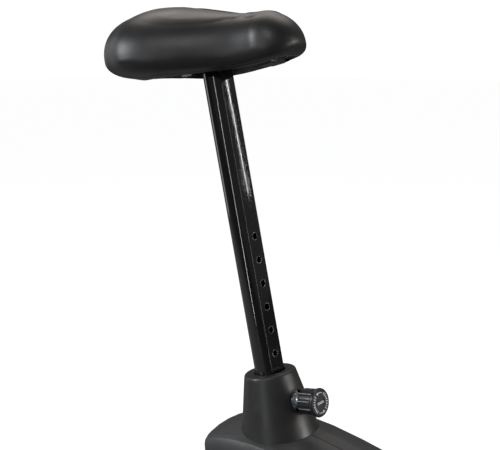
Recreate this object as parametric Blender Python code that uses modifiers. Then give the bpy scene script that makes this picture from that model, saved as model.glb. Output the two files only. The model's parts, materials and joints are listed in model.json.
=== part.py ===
"""Upright exercise bike: a saddle on a pin-locked post, a belt-driven magnetic flywheel in a two-piece
housing, cranks with pedals, a tilting handlebar, a console, and two stabilisers with wheels and levellers.

Frame: +X is forward, +Z is up, the floor is z = 0 and the origin is the centre of the footprint. Metres.
"""

import math

import bmesh
import bpy
from mathutils import Matrix, Vector

# ---------------------------------------------------------------- driving dimensions

GAP = 0.0003  # left between faces that touch on the real bike

# seat tube and post: lengths along the tube are measured from the collar's foot
SEAT_FOOT = Vector((-0.16, 0.0, 0.47))
SEAT_LEAN = math.radians(13.15)
POST_RADIUS = 0.01875
POST_FLAT = 0.0146  # from the post's axis to its flat front face
POST_WALL = 0.002
POST_TOP = 0.4660
POST_FOOT = -0.085
HOLE_PITCH = 0.0301
HOLE_RADIUS = 0.0041
HOLE_COUNT = 10
HOLE_TOP = 0.2484
LOCK_HEIGHT = HOLE_TOP - 7 * HOLE_PITCH  # the pin stands at the eighth hole
SEAT_TUBE_RADIUS = 0.0245
SEAT_TUBE_BORE = 0.0216
SEAT_TUBE_TOP = 0.0655
SEAT_TUBE_FOOT = -0.375  # then cut off level with the beam

# collar on the housing
COLLAR_HEIGHT = 0.0752
COLLAR_TOP_RADIUS = 0.0330
COLLAR_FOOT_RADIUS = 0.0492
COLLAR_WALL = 0.0025
COLLAR_SKIRT = 0.012  # how far it reaches into the housing
KNOB_WINDOW = 0.0130

# lock knob: lengths are measured outwards from the post's axis
PIN_TIP = 0.0153
PIN_RADIUS = 0.0040
BARREL_RADIUS = 0.0076
KNOB_BACK = 0.0478
KNOB_FACE = 0.0742

# saddle, in the seat frame
SEAT_PLATE = 0.003
BASE_HEIGHT = POST_TOP + SEAT_PLATE + GAP
BASE_THICKNESS = 0.004
SADDLE_BOLTS = ((0.034, 0.0), (-0.028, 0.026), (-0.028, -0.026))

# drive
CRANK = Vector((0.03, 0.0, 0.295))
CRANK_ARM = 0.170
CRANK_ANGLE = math.radians(140)
PULLEY_RADIUS = 0.110
FLYWHEEL = Vector((0.27, 0.0, 0.265))
FLYWHEEL_RADIUS = 0.120
SMALL_PULLEY_RADIUS = 0.016
BELT_PLANE = -0.045
BELT_WIDTH = 0.012
BELT_THICKNESS = 0.003
IDLER_RADIUS = 0.018
AXLE_RADIUS = 0.0085
BEARING_RADIUS = 0.0175
BEARING_WIDTH = 0.011
PLATE = 0.005
FORK_INSIDE = 0.0195

# frame
BEAM_TOP = 0.116
BEAM_HEIGHT = 0.050
BEAM_WIDTH = 0.060
BEAM_WALL = 0.002
REAR_X = -0.473
FRONT_X = 0.4535
STABILISER_RADIUS = 0.025
STABILISER_HEIGHT = 0.0407
STABILISER_HALF = 0.215
CAP_RADIUS = 0.033
WHEEL = Vector((FRONT_X + 0.030, 0.232, 0.0245))
WHEEL_RADIUS = 0.0225

# mast and handlebar
MAST_FOOT = Vector((0.297, 0.0, 0.434))
MAST_LEAN = math.radians(8)
MAST_RADIUS = 0.030
MAST_LENGTH = 0.665
BAR_RADIUS = 0.0125
GRIP_RADIUS = 0.0170
BAR_LIFT = 0.022  # pivot of the bar above the mast's top
CONSOLE_AT = Vector((0.262, 0.0, 1.205))
CONSOLE_TILT = math.radians(38)
KEYS = 3
KEY_PITCH = 0.045

# housing
HOUSING_FOOT = BEAM_TOP + GAP
HOUSING_WALL = 0.0025

# ---------------------------------------------------------------- scene and helpers

for old in list(bpy.data.objects):
    bpy.data.objects.remove(old)

BIKE = bpy.data.collections.new("exercise_bike")
CUTTERS = bpy.data.collections.new("cutters")
for group in (BIKE, CUTTERS):
    bpy.context.scene.collection.children.link(group)


def material(name, colour, roughness, metallic=0.0):
    made = bpy.data.materials.new(name)
    made.use_nodes = True
    shader = made.node_tree.nodes["Principled BSDF"]
    shader.inputs["Base Color"].default_value = (*colour, 1.0)
    shader.inputs["Roughness"].default_value = roughness
    shader.inputs["Metallic"].default_value = metallic
    return made


BLACK_SKIN = material("saddle_skin", (0.030, 0.030, 0.032), 0.45)
BLACK_GLOSS = material("black_gloss_paint", (0.012, 0.012, 0.013), 0.18)
BLACK_SATIN = material("black_satin_plastic", (0.040, 0.040, 0.042), 0.42)
BLACK_HARD = material("black_hard_plastic", (0.025, 0.025, 0.028), 0.30)
BLACK_RUBBER = material("black_rubber", (0.020, 0.020, 0.020), 0.75)
BLACK_FOAM = material("black_foam", (0.028, 0.028, 0.028), 0.90)
ZINC = material("zinc_steel", (0.62, 0.66, 0.70), 0.28, 1.0)
CAST_IRON = material("cast_iron", (0.12, 0.12, 0.12), 0.55, 1.0)
DARK_STEEL = material("dark_steel", (0.20, 0.20, 0.21), 0.40, 1.0)
SCREEN = material("display_window", (0.02, 0.03, 0.03), 0.08)
GREY_KEY = material("grey_key", (0.30, 0.31, 0.32), 0.50)

ALONG_X = (0.0, math.radians(90), 0.0)
ALONG_Y = (math.radians(-90), 0.0, 0.0)
UPRIGHT = (0.0, 0.0, 0.0)


def frame_at(name, location, rotation=UPRIGHT, parent=None):
    """An empty that other pieces are placed in. A moving group's empty stands on its joint's axis."""
    empty = bpy.data.objects.new(name, None)
    BIKE.objects.link(empty)
    empty.location = location
    empty.rotation_euler = rotation
    empty.parent = parent
    return empty


def add(name, mesh, finish, at=(0, 0, 0), turn=UPRIGHT, parent=None):
    """Puts a mesh or curve in the bike as the named piece."""
    piece = bpy.data.objects.new(name, mesh)
    BIKE.objects.link(piece)
    piece.location = at
    piece.rotation_euler = turn
    piece.parent = parent
    piece.data.materials.append(finish)
    if isinstance(mesh, bpy.types.Mesh):
        mesh.shade_smooth()
        mesh.set_sharp_from_angle(angle=math.radians(35))
    return piece


def finished(bm, name):
    mesh = bpy.data.meshes.new(name)
    bm.to_mesh(mesh)
    bm.free()
    return mesh


def cylinder_mesh(radius, low, high, segments=24, top_radius=None):
    """A cylinder or cone on local Z from low to high."""
    bm = bmesh.new()
    bmesh.ops.create_cone(
        bm,
        cap_ends=True,
        segments=segments,
        radius1=radius,
        radius2=radius if top_radius is None else top_radius,
        depth=high - low,
        matrix=Matrix.Translation((0, 0, (low + high) / 2)),
    )
    return finished(bm, "cylinder")


def box_mesh(low, high, rounding=0.0, segments=2):
    """A box between two corners, with its edges rounded."""
    low, high = Vector(low), Vector(high)
    bm = bmesh.new()
    size = Matrix.Diagonal((*(high - low), 1.0))
    bmesh.ops.create_cube(bm, size=1.0, matrix=Matrix.Translation((low + high) / 2) @ size)
    if rounding:
        bmesh.ops.bevel(
            bm, geom=bm.edges[:], offset=rounding, segments=segments, profile=0.5, affect="EDGES"
        )
    return finished(bm, "box")


def turned(name, profile, finish, at=(0, 0, 0), turn=UPRIGHT, parent=None, steps=32, ring=False):
    """A profile of (radius, height) points turned about local Z. It runs down its outer side. With ring
    set, the last point joins the first."""
    count = len(profile)
    edges = [(i, i + 1) for i in range(count - 1)]
    if ring:
        edges.append((count - 1, 0))
    mesh = bpy.data.meshes.new(name)
    mesh.from_pydata([(radius, 0.0, height) for radius, height in profile], edges, [])
    piece = add(name, mesh, finish, at, turn, parent)
    screw = piece.modifiers.new("turn", "SCREW")
    screw.steps = screw.render_steps = steps
    screw.use_merge_vertices = True
    screw.merge_threshold = 0.00005
    screw.use_normal_calculate = False
    return piece


def sleeve_profile(outer, bore, low, high):
    return [(outer, high), (outer, low), (bore, low), (bore, high)]


def flat_shape(name, outline, thickness, finish, at=(0, 0, 0), turn=UPRIGHT, parent=None, holes=()):
    """A flat outline in local XY, with holes, extruded to both sides of local Z = 0."""
    curve = bpy.data.curves.new(name, "CURVE")
    curve.dimensions = "2D"
    curve.fill_mode = "BOTH"
    curve.extrude = thickness / 2
    for loop in (outline, *holes):
        spline = curve.splines.new("POLY")
        spline.points.add(len(loop) - 1)
        for point, (x, y) in zip(spline.points, loop):
            point.co = (x, y, 0.0, 1.0)
        spline.use_cyclic_u = True
    return add(name, curve, finish, at, turn, parent)


def circle(centre, radius, count=24, start=0.0, sweep=2 * math.pi):
    """Points round a circle, or along an arc of it when sweep is less than a full turn."""
    last = count if sweep == 2 * math.pi else count - 1
    return [
        (
            centre[0] + radius * math.cos(start + sweep * i / last),
            centre[1] + radius * math.sin(start + sweep * i / last),
        )
        for i in range(count)
    ]


def smooth_route(points, per_span=5):
    """A Catmull-Rom curve through the points."""
    route = [Vector(p) for p in points]
    ends = [2 * route[0] - route[1], *route, 2 * route[-1] - route[-2]]
    out = []
    for i in range(1, len(ends) - 2):
        p0, p1, p2, p3 = ends[i - 1 : i + 3]
        for step in range(per_span):
            t = step / per_span
            out.append(
                0.5
                * (
                    2 * p1
                    + (p2 - p0) * t
                    + (2 * p0 - 5 * p1 + 4 * p2 - p3) * t**2
                    + (3 * p1 - p0 - 3 * p2 + p3) * t**3
                )
            )
    return [*out, route[-1]]


def framed(route):
    """The route's points with two axes across it at each, carried along without twisting."""
    points = [Vector(p) for p in route]
    last = len(points) - 1
    across = None
    frames = []
    for index, point in enumerate(points):
        along = (points[min(index + 1, last)] - points[max(index - 1, 0)]).normalized()
        if across is None:
            across = along.orthogonal()
        across = (across - across.dot(along) * along).normalized()
        frames.append((point, across, along.cross(across)))
    return frames


def swept(name, frames, radius, finish, parent=None, sides=12):
    """A round bar along framed points."""
    rings = []
    for point, across, up in frames:
        turns = [2 * math.pi * i / sides for i in range(sides)]
        rings.append([point + radius * (math.cos(t) * across + math.sin(t) * up) for t in turns])
    return loft(name, rings, finish, parent)


def as_mesh(piece):
    """The curve piece as a mesh piece of the same name, with its caps joined to its sides."""
    bpy.context.view_layer.update()
    evaluated = piece.evaluated_get(bpy.context.evaluated_depsgraph_get())
    mesh = bpy.data.meshes.new_from_object(evaluated)
    bm = bmesh.new()
    bm.from_mesh(mesh)
    bmesh.ops.remove_doubles(bm, verts=bm.verts, dist=0.00001)
    bm.to_mesh(mesh)
    bm.free()
    name, finish = piece.name, piece.data.materials[0]
    placed, parent = piece.matrix_world.copy(), piece.parent
    bpy.data.objects.remove(piece)
    mesh.materials.clear()
    made = add(name, mesh, finish)
    made.parent = parent
    made.matrix_world = placed
    return made


def cutter(name, mesh, at=(0, 0, 0), turn=UPRIGHT, parent=None):
    tool = bpy.data.objects.new(name, mesh)
    CUTTERS.objects.link(tool)
    tool.location = at
    tool.rotation_euler = turn
    tool.parent = parent
    tool.hide_render = True
    tool.display_type = "WIRE"
    return tool


def boolean(piece, tool, operation="DIFFERENCE"):
    step = piece.modifiers.new(tool.name, "BOOLEAN")
    step.object = tool
    step.operation = operation


def as_cutter(piece):
    """Moves a finished mesh piece into the cutters."""
    BIKE.objects.unlink(piece)
    CUTTERS.objects.link(piece)
    piece.hide_render = True
    piece.display_type = "WIRE"
    return piece


def loft(name, rings, finish, parent=None, at=(0, 0, 0)):
    """A closed skin through rings of equal length, capped at both ends."""
    bm = bmesh.new()
    rows = [[bm.verts.new(p) for p in ring] for ring in rings]
    count = len(rows[0])
    for first, second in zip(rows, rows[1:]):
        for i in range(count):
            j = (i + 1) % count
            bm.faces.new((first[i], first[j], second[j], second[i]))
    bm.faces.new(reversed(rows[0]))
    bm.faces.new(rows[-1])
    bmesh.ops.recalc_face_normals(bm, faces=bm.faces)
    return add(name, finished(bm, name), finish, at, parent=parent)


def between(table, x):
    """Straight-line reading of a table of (x, value) pairs."""
    if x <= table[0][0]:
        return table[0][1]
    for (x0, v0), (x1, v1) in zip(table, table[1:]):
        if x <= x1:
            return v0 + (v1 - v0) * (x - x0) / (x1 - x0)
    return table[-1][1]


# ---------------------------------------------------------------- joint frames

seat_frame = frame_at("seat_frame", SEAT_FOOT, (0.0, -SEAT_LEAN, 0.0))
lock_frame = frame_at("lock_frame", (0, 0, LOCK_HEIGHT), ALONG_X, seat_frame)
crank_frame = frame_at("crank_frame", CRANK)
flywheel_frame = frame_at("flywheel_frame", FLYWHEEL)
mast_frame = frame_at("mast_frame", MAST_FOOT, (0.0, -MAST_LEAN, 0.0))
bar_frame = frame_at("bar_frame", (0, 0, MAST_LENGTH + BAR_LIFT), (0.0, MAST_LEAN, 0.0), mast_frame)
console_frame = frame_at("console_frame", CONSOLE_AT, (0, -CONSOLE_TILT, 0))

# ---------------------------------------------------------------- seat post and saddle


def d_section(radius, flat, low, high):
    """A round bar with one flat facing local +X."""
    bm = bmesh.new()
    bmesh.ops.create_cone(
        bm,
        cap_ends=True,
        segments=32,
        radius1=radius,
        radius2=radius,
        depth=high - low,
        matrix=Matrix.Translation((0, 0, (low + high) / 2)),
    )
    cut = bmesh.ops.bisect_plane(
        bm,
        geom=bm.verts[:] + bm.edges[:] + bm.faces[:],
        plane_co=(flat, 0, 0),
        plane_no=(1, 0, 0),
        clear_outer=True,
    )
    rim = [part for part in cut["geom_cut"] if isinstance(part, bmesh.types.BMEdge)]
    bmesh.ops.contextual_create(bm, geom=rim)
    return finished(bm, "d_section")


def seat_post():
    """The D-shaped tube with its row of holes, and the plate welded on top that the saddle is bolted to."""
    tube = d_section(POST_RADIUS, POST_FLAT, POST_FOOT, POST_TOP + SEAT_PLATE / 2)
    post = add("seat_post", tube, BLACK_GLOSS, parent=seat_frame)
    inside = d_section(POST_RADIUS - POST_WALL, POST_FLAT - POST_WALL, POST_FOOT - 0.01, POST_TOP - 0.010)
    boolean(post, cutter("post_hollow", inside, parent=seat_frame))
    bm = bmesh.new()
    for index in range(HOLE_COUNT):
        place = Matrix.Translation((0.018, 0, HOLE_TOP - index * HOLE_PITCH))
        bmesh.ops.create_cone(
            bm,
            cap_ends=True,
            segments=16,
            radius1=HOLE_RADIUS,
            radius2=HOLE_RADIUS,
            depth=0.020,
            matrix=place @ Matrix.Rotation(math.radians(90), 4, "Y"),
        )
    boolean(post, cutter("post_holes", finished(bm, "holes"), parent=seat_frame))
    corners = [(-0.042, 0.020), (-0.026, 0.040), (0.020, 0.024), (0.046, 0.012)]
    outline = corners + [(x, -y) for x, y in reversed(corners)]
    at = (0, 0, POST_TOP + SEAT_PLATE / 2)
    plate = as_mesh(flat_shape("saddle_plate", outline, SEAT_PLATE, BLACK_GLOSS, at, parent=seat_frame))
    boolean(post, as_cutter(plate), "UNION")
    for index, (x, y) in enumerate(SADDLE_BOLTS, start=1):
        nut = cylinder_mesh(0.0072, POST_TOP - 0.0065, POST_TOP - GAP, 6)
        add(f"saddle_nut_{index}", nut, ZINC, (x, y, 0), parent=seat_frame)


# half width, underside and crown of the saddle along its length, nose forward
SADDLE_WIDTH = (
    (-0.119, 0.030), (-0.112, 0.062), (-0.098, 0.085), (-0.078, 0.099), (-0.050, 0.104),
    (-0.020, 0.098), (0.010, 0.082), (0.040, 0.062), (0.070, 0.047), (0.100, 0.040),
    (0.120, 0.034), (0.133, 0.024), (0.140, 0.008),
)
SADDLE_UNDER = (
    (-0.119, 0.488), (-0.112, 0.483), (-0.098, 0.475), (-0.078, 0.468), (-0.050, 0.4615), (-0.020, 0.4545),
    (0.010, 0.4515), (0.040, 0.448), (0.070, 0.447), (0.100, 0.448), (0.125, 0.452), (0.140, 0.456),
)
SADDLE_CROWN = (
    (-0.119, 0.500), (-0.112, 0.516), (-0.098, 0.534), (-0.078, 0.546), (-0.055, 0.550),
    (-0.020, 0.541), (0.010, 0.528), (0.040, 0.516), (0.070, 0.510), (0.090, 0.508),
    (0.105, 0.505), (0.120, 0.497), (0.133, 0.480), (0.140, 0.466),
)
GROOVE_DEPTH = ((-0.119, 0.0), (-0.105, 0.008), (-0.080, 0.012), (0.020, 0.011), (0.050, 0.006), (0.075, 0.0))
GROOVE_HALF = 0.013
# half width of the saddle's base and the height of its underside, nose forward
BASE_WIDTH = (
    (-0.105, 0.060), (-0.090, 0.082), (-0.070, 0.090), (-0.045, 0.093), (-0.015, 0.086), (0.020, 0.065),
    (0.050, 0.040), (0.068, 0.026), (0.084, 0.020), (0.128, 0.016),
)
BASE_UNDER = (
    (-0.105, 0.4820), (-0.090, 0.4770), (-0.070, 0.4725), (-0.045, BASE_HEIGHT), (0.050, BASE_HEIGHT),
    (0.068, 0.4600), (0.084, 0.4535), (0.128, 0.4540),
)
ACROSS_TOP = (0.0, 0.12, 0.25, 0.45, 0.66, 0.84, 0.95, 1.0)
ACROSS_UNDER = (0.97, 0.75, 0.30)


def saddle_ring(x):
    """One cross-section: a dome with a groove down its middle, flat below."""
    half = between(SADDLE_WIDTH, x)
    low, high = between(SADDLE_UNDER, x), between(SADDLE_CROWN, x)
    shoulder = low + 0.22 * (high - low)
    right = []
    for u in ACROSS_TOP:
        groove = between(GROOVE_DEPTH, x) * math.exp(-((half * u / GROOVE_HALF) ** 2))
        right.append((u, shoulder + (high - shoulder) * (1 - u**2.3) ** 0.6 - groove))
    right += [(ACROSS_UNDER[0], low + 0.004), *[(u, low) for u in ACROSS_UNDER[1:]]]
    left = [(-u, z) for u, z in reversed(right[1:])]
    return [(x, half * u, z) for u, z in right + left]


def base_rings(spare, below, above):
    """Cross-sections of the base, this much wider, and from this far below its underside to above it."""
    rings = []
    for x, half in BASE_WIDTH:
        wide, low = half + spare, between(BASE_UNDER, x)
        end = math.copysign(spare, x) if x in (BASE_WIDTH[0][0], BASE_WIDTH[-1][0]) else 0.0
        corners = [(-wide, low - below), (wide, low - below), (wide, low + above), (-wide, low + above)]
        rings.append([(x + end, y, z) for y, z in corners])
    return rings


def saddle():
    base = loft("saddle_base", base_rings(0.0, 0.0, BASE_THICKNESS), BLACK_HARD, seat_frame)
    tab = box_mesh((0.076, -0.016, 0.4468), (0.098, 0.016, 0.4555), 0.002, 1)
    boolean(base, cutter("nose_tab", tab, parent=seat_frame), "UNION")

    stations = [x for x, half in SADDLE_WIDTH]
    cushion = loft("saddle_cushion", [saddle_ring(x) for x in stations], BLACK_SKIN, seat_frame)
    pocket = loft("pocket", base_rings(GAP + 0.0004, 0.040, BASE_THICKNESS + GAP), BLACK_SKIN, seat_frame)
    boolean(cushion, as_cutter(pocket))


# ---------------------------------------------------------------- collar, seat tube and lock knob


def collar_radius(height):
    slope = (COLLAR_TOP_RADIUS - COLLAR_FOOT_RADIUS) / COLLAR_HEIGHT
    return COLLAR_FOOT_RADIUS + slope * height


def collar():
    low, high, fillet = -COLLAR_SKIRT, COLLAR_HEIGHT, 0.003
    eye = POST_RADIUS + 0.0012
    under = high - 0.0035
    profile = [
        (collar_radius(high) - fillet, high), (collar_radius(high) - 0.0008, high - 0.0010),
        (collar_radius(high - fillet), high - fillet), (collar_radius(low), low),
        (collar_radius(low) - COLLAR_WALL, low), (collar_radius(under) - COLLAR_WALL, under),
        (eye, under), (eye, high - 0.0008),
    ]
    cone = turned("seat_collar", profile, BLACK_SATIN, parent=seat_frame, steps=40, ring=True)
    window = cylinder_mesh(KNOB_WINDOW, 0.022, 0.060)
    boolean(cone, cutter("collar_window", window, parent=lock_frame))
    room = KNOB_WINDOW + 0.0038
    relief = cylinder_mesh(KNOB_WINDOW, 0.0414, 0.0440, 32, room)
    boolean(cone, cutter("knob_relief", relief, parent=lock_frame))
    boolean(cone, cutter("knob_room", cylinder_mesh(room, 0.0439, 0.060, 32), parent=lock_frame))


def seat_tube():
    tube = turned(
        "seat_tube",
        sleeve_profile(SEAT_TUBE_RADIUS, SEAT_TUBE_BORE, SEAT_TUBE_FOOT, SEAT_TUBE_TOP),
        BLACK_GLOSS,
        parent=seat_frame,
        ring=True,
    )
    window = cutter("barrel_window", cylinder_mesh(BARREL_RADIUS + 0.0012, 0.010, 0.040), parent=lock_frame)
    boolean(tube, window)
    below = box_mesh((-0.15, -0.05, 0.02), (0.0, 0.05, BEAM_TOP + GAP))
    boolean(tube, cutter("level_foot", below))
    flange, foot = SEAT_TUBE_TOP + GAP, -0.030
    profile = [
        (0.0238, flange + 0.003), (0.0238, flange), (SEAT_TUBE_BORE - GAP, flange),
        (SEAT_TUBE_BORE - GAP, foot), (POST_RADIUS + GAP, foot), (POST_RADIUS + GAP, flange + 0.003),
    ]
    bushing = turned("seat_bushing", profile, BLACK_SATIN, parent=seat_frame, ring=True)
    boolean(bushing, window)
    boss = turned(
        "lock_boss",
        sleeve_profile(0.0130, BARREL_RADIUS + GAP, SEAT_TUBE_RADIUS - 0.004, 0.0330),
        DARK_STEEL,
        parent=lock_frame,
        steps=24,
        ring=True,
    )
    round_of_tube = cylinder_mesh(SEAT_TUBE_RADIUS + GAP, -0.05, 0.09, 32)
    boolean(boss, cutter("boss_foot", round_of_tube, parent=seat_frame))


def lock():
    """The spring pin with its barrel and knob. It stands pulled out, so that the post can slide."""
    turned(
        "lock_barrel",
        [
            (BARREL_RADIUS, 0.0500), (BARREL_RADIUS, 0.0357), (0.0088, 0.0352), (0.0088, 0.0335),
            (BARREL_RADIUS, 0.0335), (BARREL_RADIUS, 0.0205), (0.0046, 0.0205), (0.0046, 0.0455),
            (0.0024, 0.0455), (0.0024, 0.0500),
        ],
        ZINC,
        parent=lock_frame,
        steps=24,
        ring=True,
    )
    stem = 0.0020
    turned(
        "lock_pin",
        [
            (0.0, 0.0655), (stem, 0.0655), (stem, 0.0300), (PIN_RADIUS, 0.0300),
            (PIN_RADIUS, PIN_TIP + 0.001), (PIN_RADIUS - 0.001, PIN_TIP), (0.0, PIN_TIP),
        ],
        ZINC,
        parent=lock_frame,
        steps=20,
    )
    coils, per_coil, low, high = 6, 10, 0.0310, 0.0449
    coil = []
    for i in range(coils * per_coil + 1):
        angle = 2 * math.pi * i / per_coil
        rise = low + (high - low) * i / (coils * per_coil)
        coil.append((0.0032 * math.cos(angle), 0.0032 * math.sin(angle), rise))
    swept("lock_spring", framed(coil), 0.0005, DARK_STEEL, lock_frame, 5)

    bore, stem_bore = BARREL_RADIUS + 0.0004, stem + GAP
    profile = [
        (0.0, KNOB_FACE), (0.0164, KNOB_FACE), (0.0176, KNOB_FACE - 0.0012), (0.0176, 0.0705), (0.0166, 0.0692),
        (0.0162, 0.0520), (0.0158, 0.0498), (0.0146, 0.0486), (0.0132, KNOB_BACK), (bore, KNOB_BACK),
        (bore, 0.0560), (stem_bore, 0.0560), (stem_bore, 0.0660), (0.0, 0.0660),
    ]
    knob = turned("lock_knob", profile, BLACK_HARD, parent=lock_frame, steps=36)
    bm = bmesh.new()
    for index in range(12):
        angle = 2 * math.pi * index / 12
        place = Matrix.Translation((0.0184 * math.cos(angle), 0.0184 * math.sin(angle), 0.0580))
        bmesh.ops.create_cone(
            bm, cap_ends=True, segments=8, radius1=0.0032, radius2=0.0032, depth=0.0220, matrix=place
        )
    boolean(knob, cutter("knob_flutes", finished(bm, "flutes"), parent=lock_frame))


# ---------------------------------------------------------------- frame


def box_tube(name, low, high, along):
    """A rectangular tube with open ends, along the X (0) or Z (2) axis."""
    tube = add(name, box_mesh(low, high, 0.0025, 1), BLACK_GLOSS)
    wall = Vector((BEAM_WALL, BEAM_WALL, BEAM_WALL))
    wall[along] = -0.01
    boolean(tube, cutter(name + "_inside", box_mesh(Vector(low) + wall, Vector(high) - wall)))
    return tube


def beam_and_column():
    half = BEAM_WIDTH / 2
    low = (REAR_X - 0.022, -half, BEAM_TOP - BEAM_HEIGHT)
    box_tube("base_beam", low, (FRONT_X + 0.022, half, BEAM_TOP), 0)

    low = (CRANK.x - 0.025, -0.020, BEAM_TOP + GAP)
    column = box_tube("crank_column", low, (CRANK.x + 0.025, 0.020, CRANK.z - 0.012), 2)
    outside = cylinder_mesh(0.0220, -0.034, 0.034, 32)
    inside = cylinder_mesh(BEARING_RADIUS + GAP, -0.05, 0.05, 32)
    boolean(column, cutter("crank_shell", outside, CRANK, ALONG_Y), "UNION")
    boolean(column, cutter("crank_shell_bore", inside, CRANK, ALONG_Y))


def front_fork():
    """Two plates either side of the flywheel, the plate across their top and the mast's socket on it."""
    foot, top = BEAM_TOP + GAP, MAST_FOOT.z - 0.004
    outline = [
        (-0.075, foot), (0.045, foot), (0.065, 0.135), (0.068, 0.20), (0.050, 0.36), (0.063, top),
        (-0.009, top), (-0.022, 0.36), (-0.060, 0.20),
    ]
    holes = [
        circle((0.0, FLYWHEEL.z), BEARING_RADIUS + GAP),
        circle((BRAKE_PIVOT.x - FLYWHEEL.x, BRAKE_PIVOT.z), 0.003 + GAP, 12),
    ]
    sides = []
    for side, sign in (("left", 1), ("right", -1)):
        at = (FLYWHEEL.x, sign * (FORK_INSIDE + PLATE / 2), 0)
        plate = flat_shape(f"fork_{side}", outline, PLATE, BLACK_GLOSS, at, (math.radians(90), 0, 0), holes=holes)
        sides.append(as_mesh(plate))
    fork = sides[0]
    fork.name = "front_fork"
    boolean(fork, as_cutter(sides[1]), "UNION")
    across = box_mesh((MAST_FOOT.x - 0.036, -0.036, top - 0.006), (MAST_FOOT.x + 0.036, 0.036, top + 0.002))
    boolean(fork, cutter("fork_top", across), "UNION")
    socket = cylinder_mesh(0.0345, -0.008, 0.090, 32)
    boolean(fork, cutter("mast_socket", socket, parent=mast_frame), "UNION")
    bore = cylinder_mesh(MAST_RADIUS + GAP, 0.002, 0.110, 32)
    boolean(fork, cutter("mast_socket_bore", bore, parent=mast_frame))


def stabiliser(name, x):
    turned(
        f"{name}_stabiliser",
        sleeve_profile(STABILISER_RADIUS, STABILISER_RADIUS - 0.002, -STABILISER_HALF, STABILISER_HALF),
        BLACK_GLOSS,
        (x, 0, STABILISER_HEIGHT),
        ALONG_Y,
        ring=True,
    )
    bolts = add(f"{name}_bolts", box_mesh((-0.020, -0.009, 0), (0.020, 0.009, 0.0025)), ZINC, (x, 0, BEAM_TOP + GAP))
    for index, shift in enumerate((-0.0115, 0.0115)):
        dome = cylinder_mesh(0.0070, 0.001, 0.0110, 12, top_radius=0.0040)
        boolean(bolts, cutter(f"{name}_dome_{index}", dome, (x + shift, 0, BEAM_TOP + GAP)), "UNION")


def end_cap(name, sign, x, low, front):
    """A block over the end of a stabiliser. It reaches down to low and forward to front."""
    low_corner = (-CAP_RADIUS, -0.035, low - STABILISER_HEIGHT)
    place = (x, sign * STABILISER_HALF, STABILISER_HEIGHT)
    cap = add(name, box_mesh(low_corner, (front, 0.035, CAP_RADIUS), 0.012, 2), BLACK_SATIN, place)
    bore = cylinder_mesh(STABILISER_RADIUS + GAP, -0.060, GAP, 32)
    boolean(cap, cutter(name + "_bore", bore, place, (math.radians(-90 * sign), 0, 0)))
    return cap


def feet():
    """Rear caps with a screwed levelling foot each. Front caps stand on the floor and hold a wheel each."""
    for side, sign in (("left", 1), ("right", -1)):
        cap = end_cap(f"rear_cap_{side}", sign, REAR_X, 0.012, CAP_RADIUS)
        foot_at = (REAR_X, sign * (STABILISER_HALF + 0.017), 0)
        boolean(cap, cutter(f"foot_hole_{side}", cylinder_mesh(0.0045, 0.0, 0.0360, 16), foot_at))
        turned(
            f"levelling_foot_{side}",
            [
                (0.0, 0.0350), (0.0042, 0.0350), (0.0042, 0.0105), (0.0150, 0.0100), (0.0160, 0.0080),
                (0.0160, 0.0010), (0.0150, 0.0), (0.0, 0.0),
            ],
            BLACK_RUBBER,
            foot_at,
            steps=20,
        )

        cap = end_cap(f"front_cap_{side}", sign, FRONT_X, 0.0, 0.040)
        centre = Vector((WHEEL.x, sign * WHEEL.y, WHEEL.z))
        slot = box_mesh((-0.026, -0.0080, -0.040), (0.040, 0.0080, 0.0265))
        boolean(cap, cutter(f"wheel_slot_{side}", slot, centre))
        axle = cylinder_mesh(0.0040, -0.0120, 0.0120, 16)
        boolean(cap, cutter(f"wheel_axle_{side}", axle, centre, ALONG_Y), "UNION")
        turned(
            f"transport_wheel_{side}",
            [
                (WHEEL_RADIUS - 0.001, 0.0070), (WHEEL_RADIUS, 0.0050), (WHEEL_RADIUS, -0.0050),
                (WHEEL_RADIUS - 0.001, -0.0070), (0.0043, -0.0070), (0.0043, 0.0070),
            ],
            BLACK_RUBBER,
            centre,
            ALONG_Y,
            steps=28,
            ring=True,
        )


# ---------------------------------------------------------------- drive


def bearing(name, at):
    half = BEARING_WIDTH / 2
    profile = sleeve_profile(BEARING_RADIUS, AXLE_RADIUS + GAP, -half, half)
    turned(name, profile, DARK_STEEL, at, ALONG_Y, steps=24, ring=True)


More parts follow.
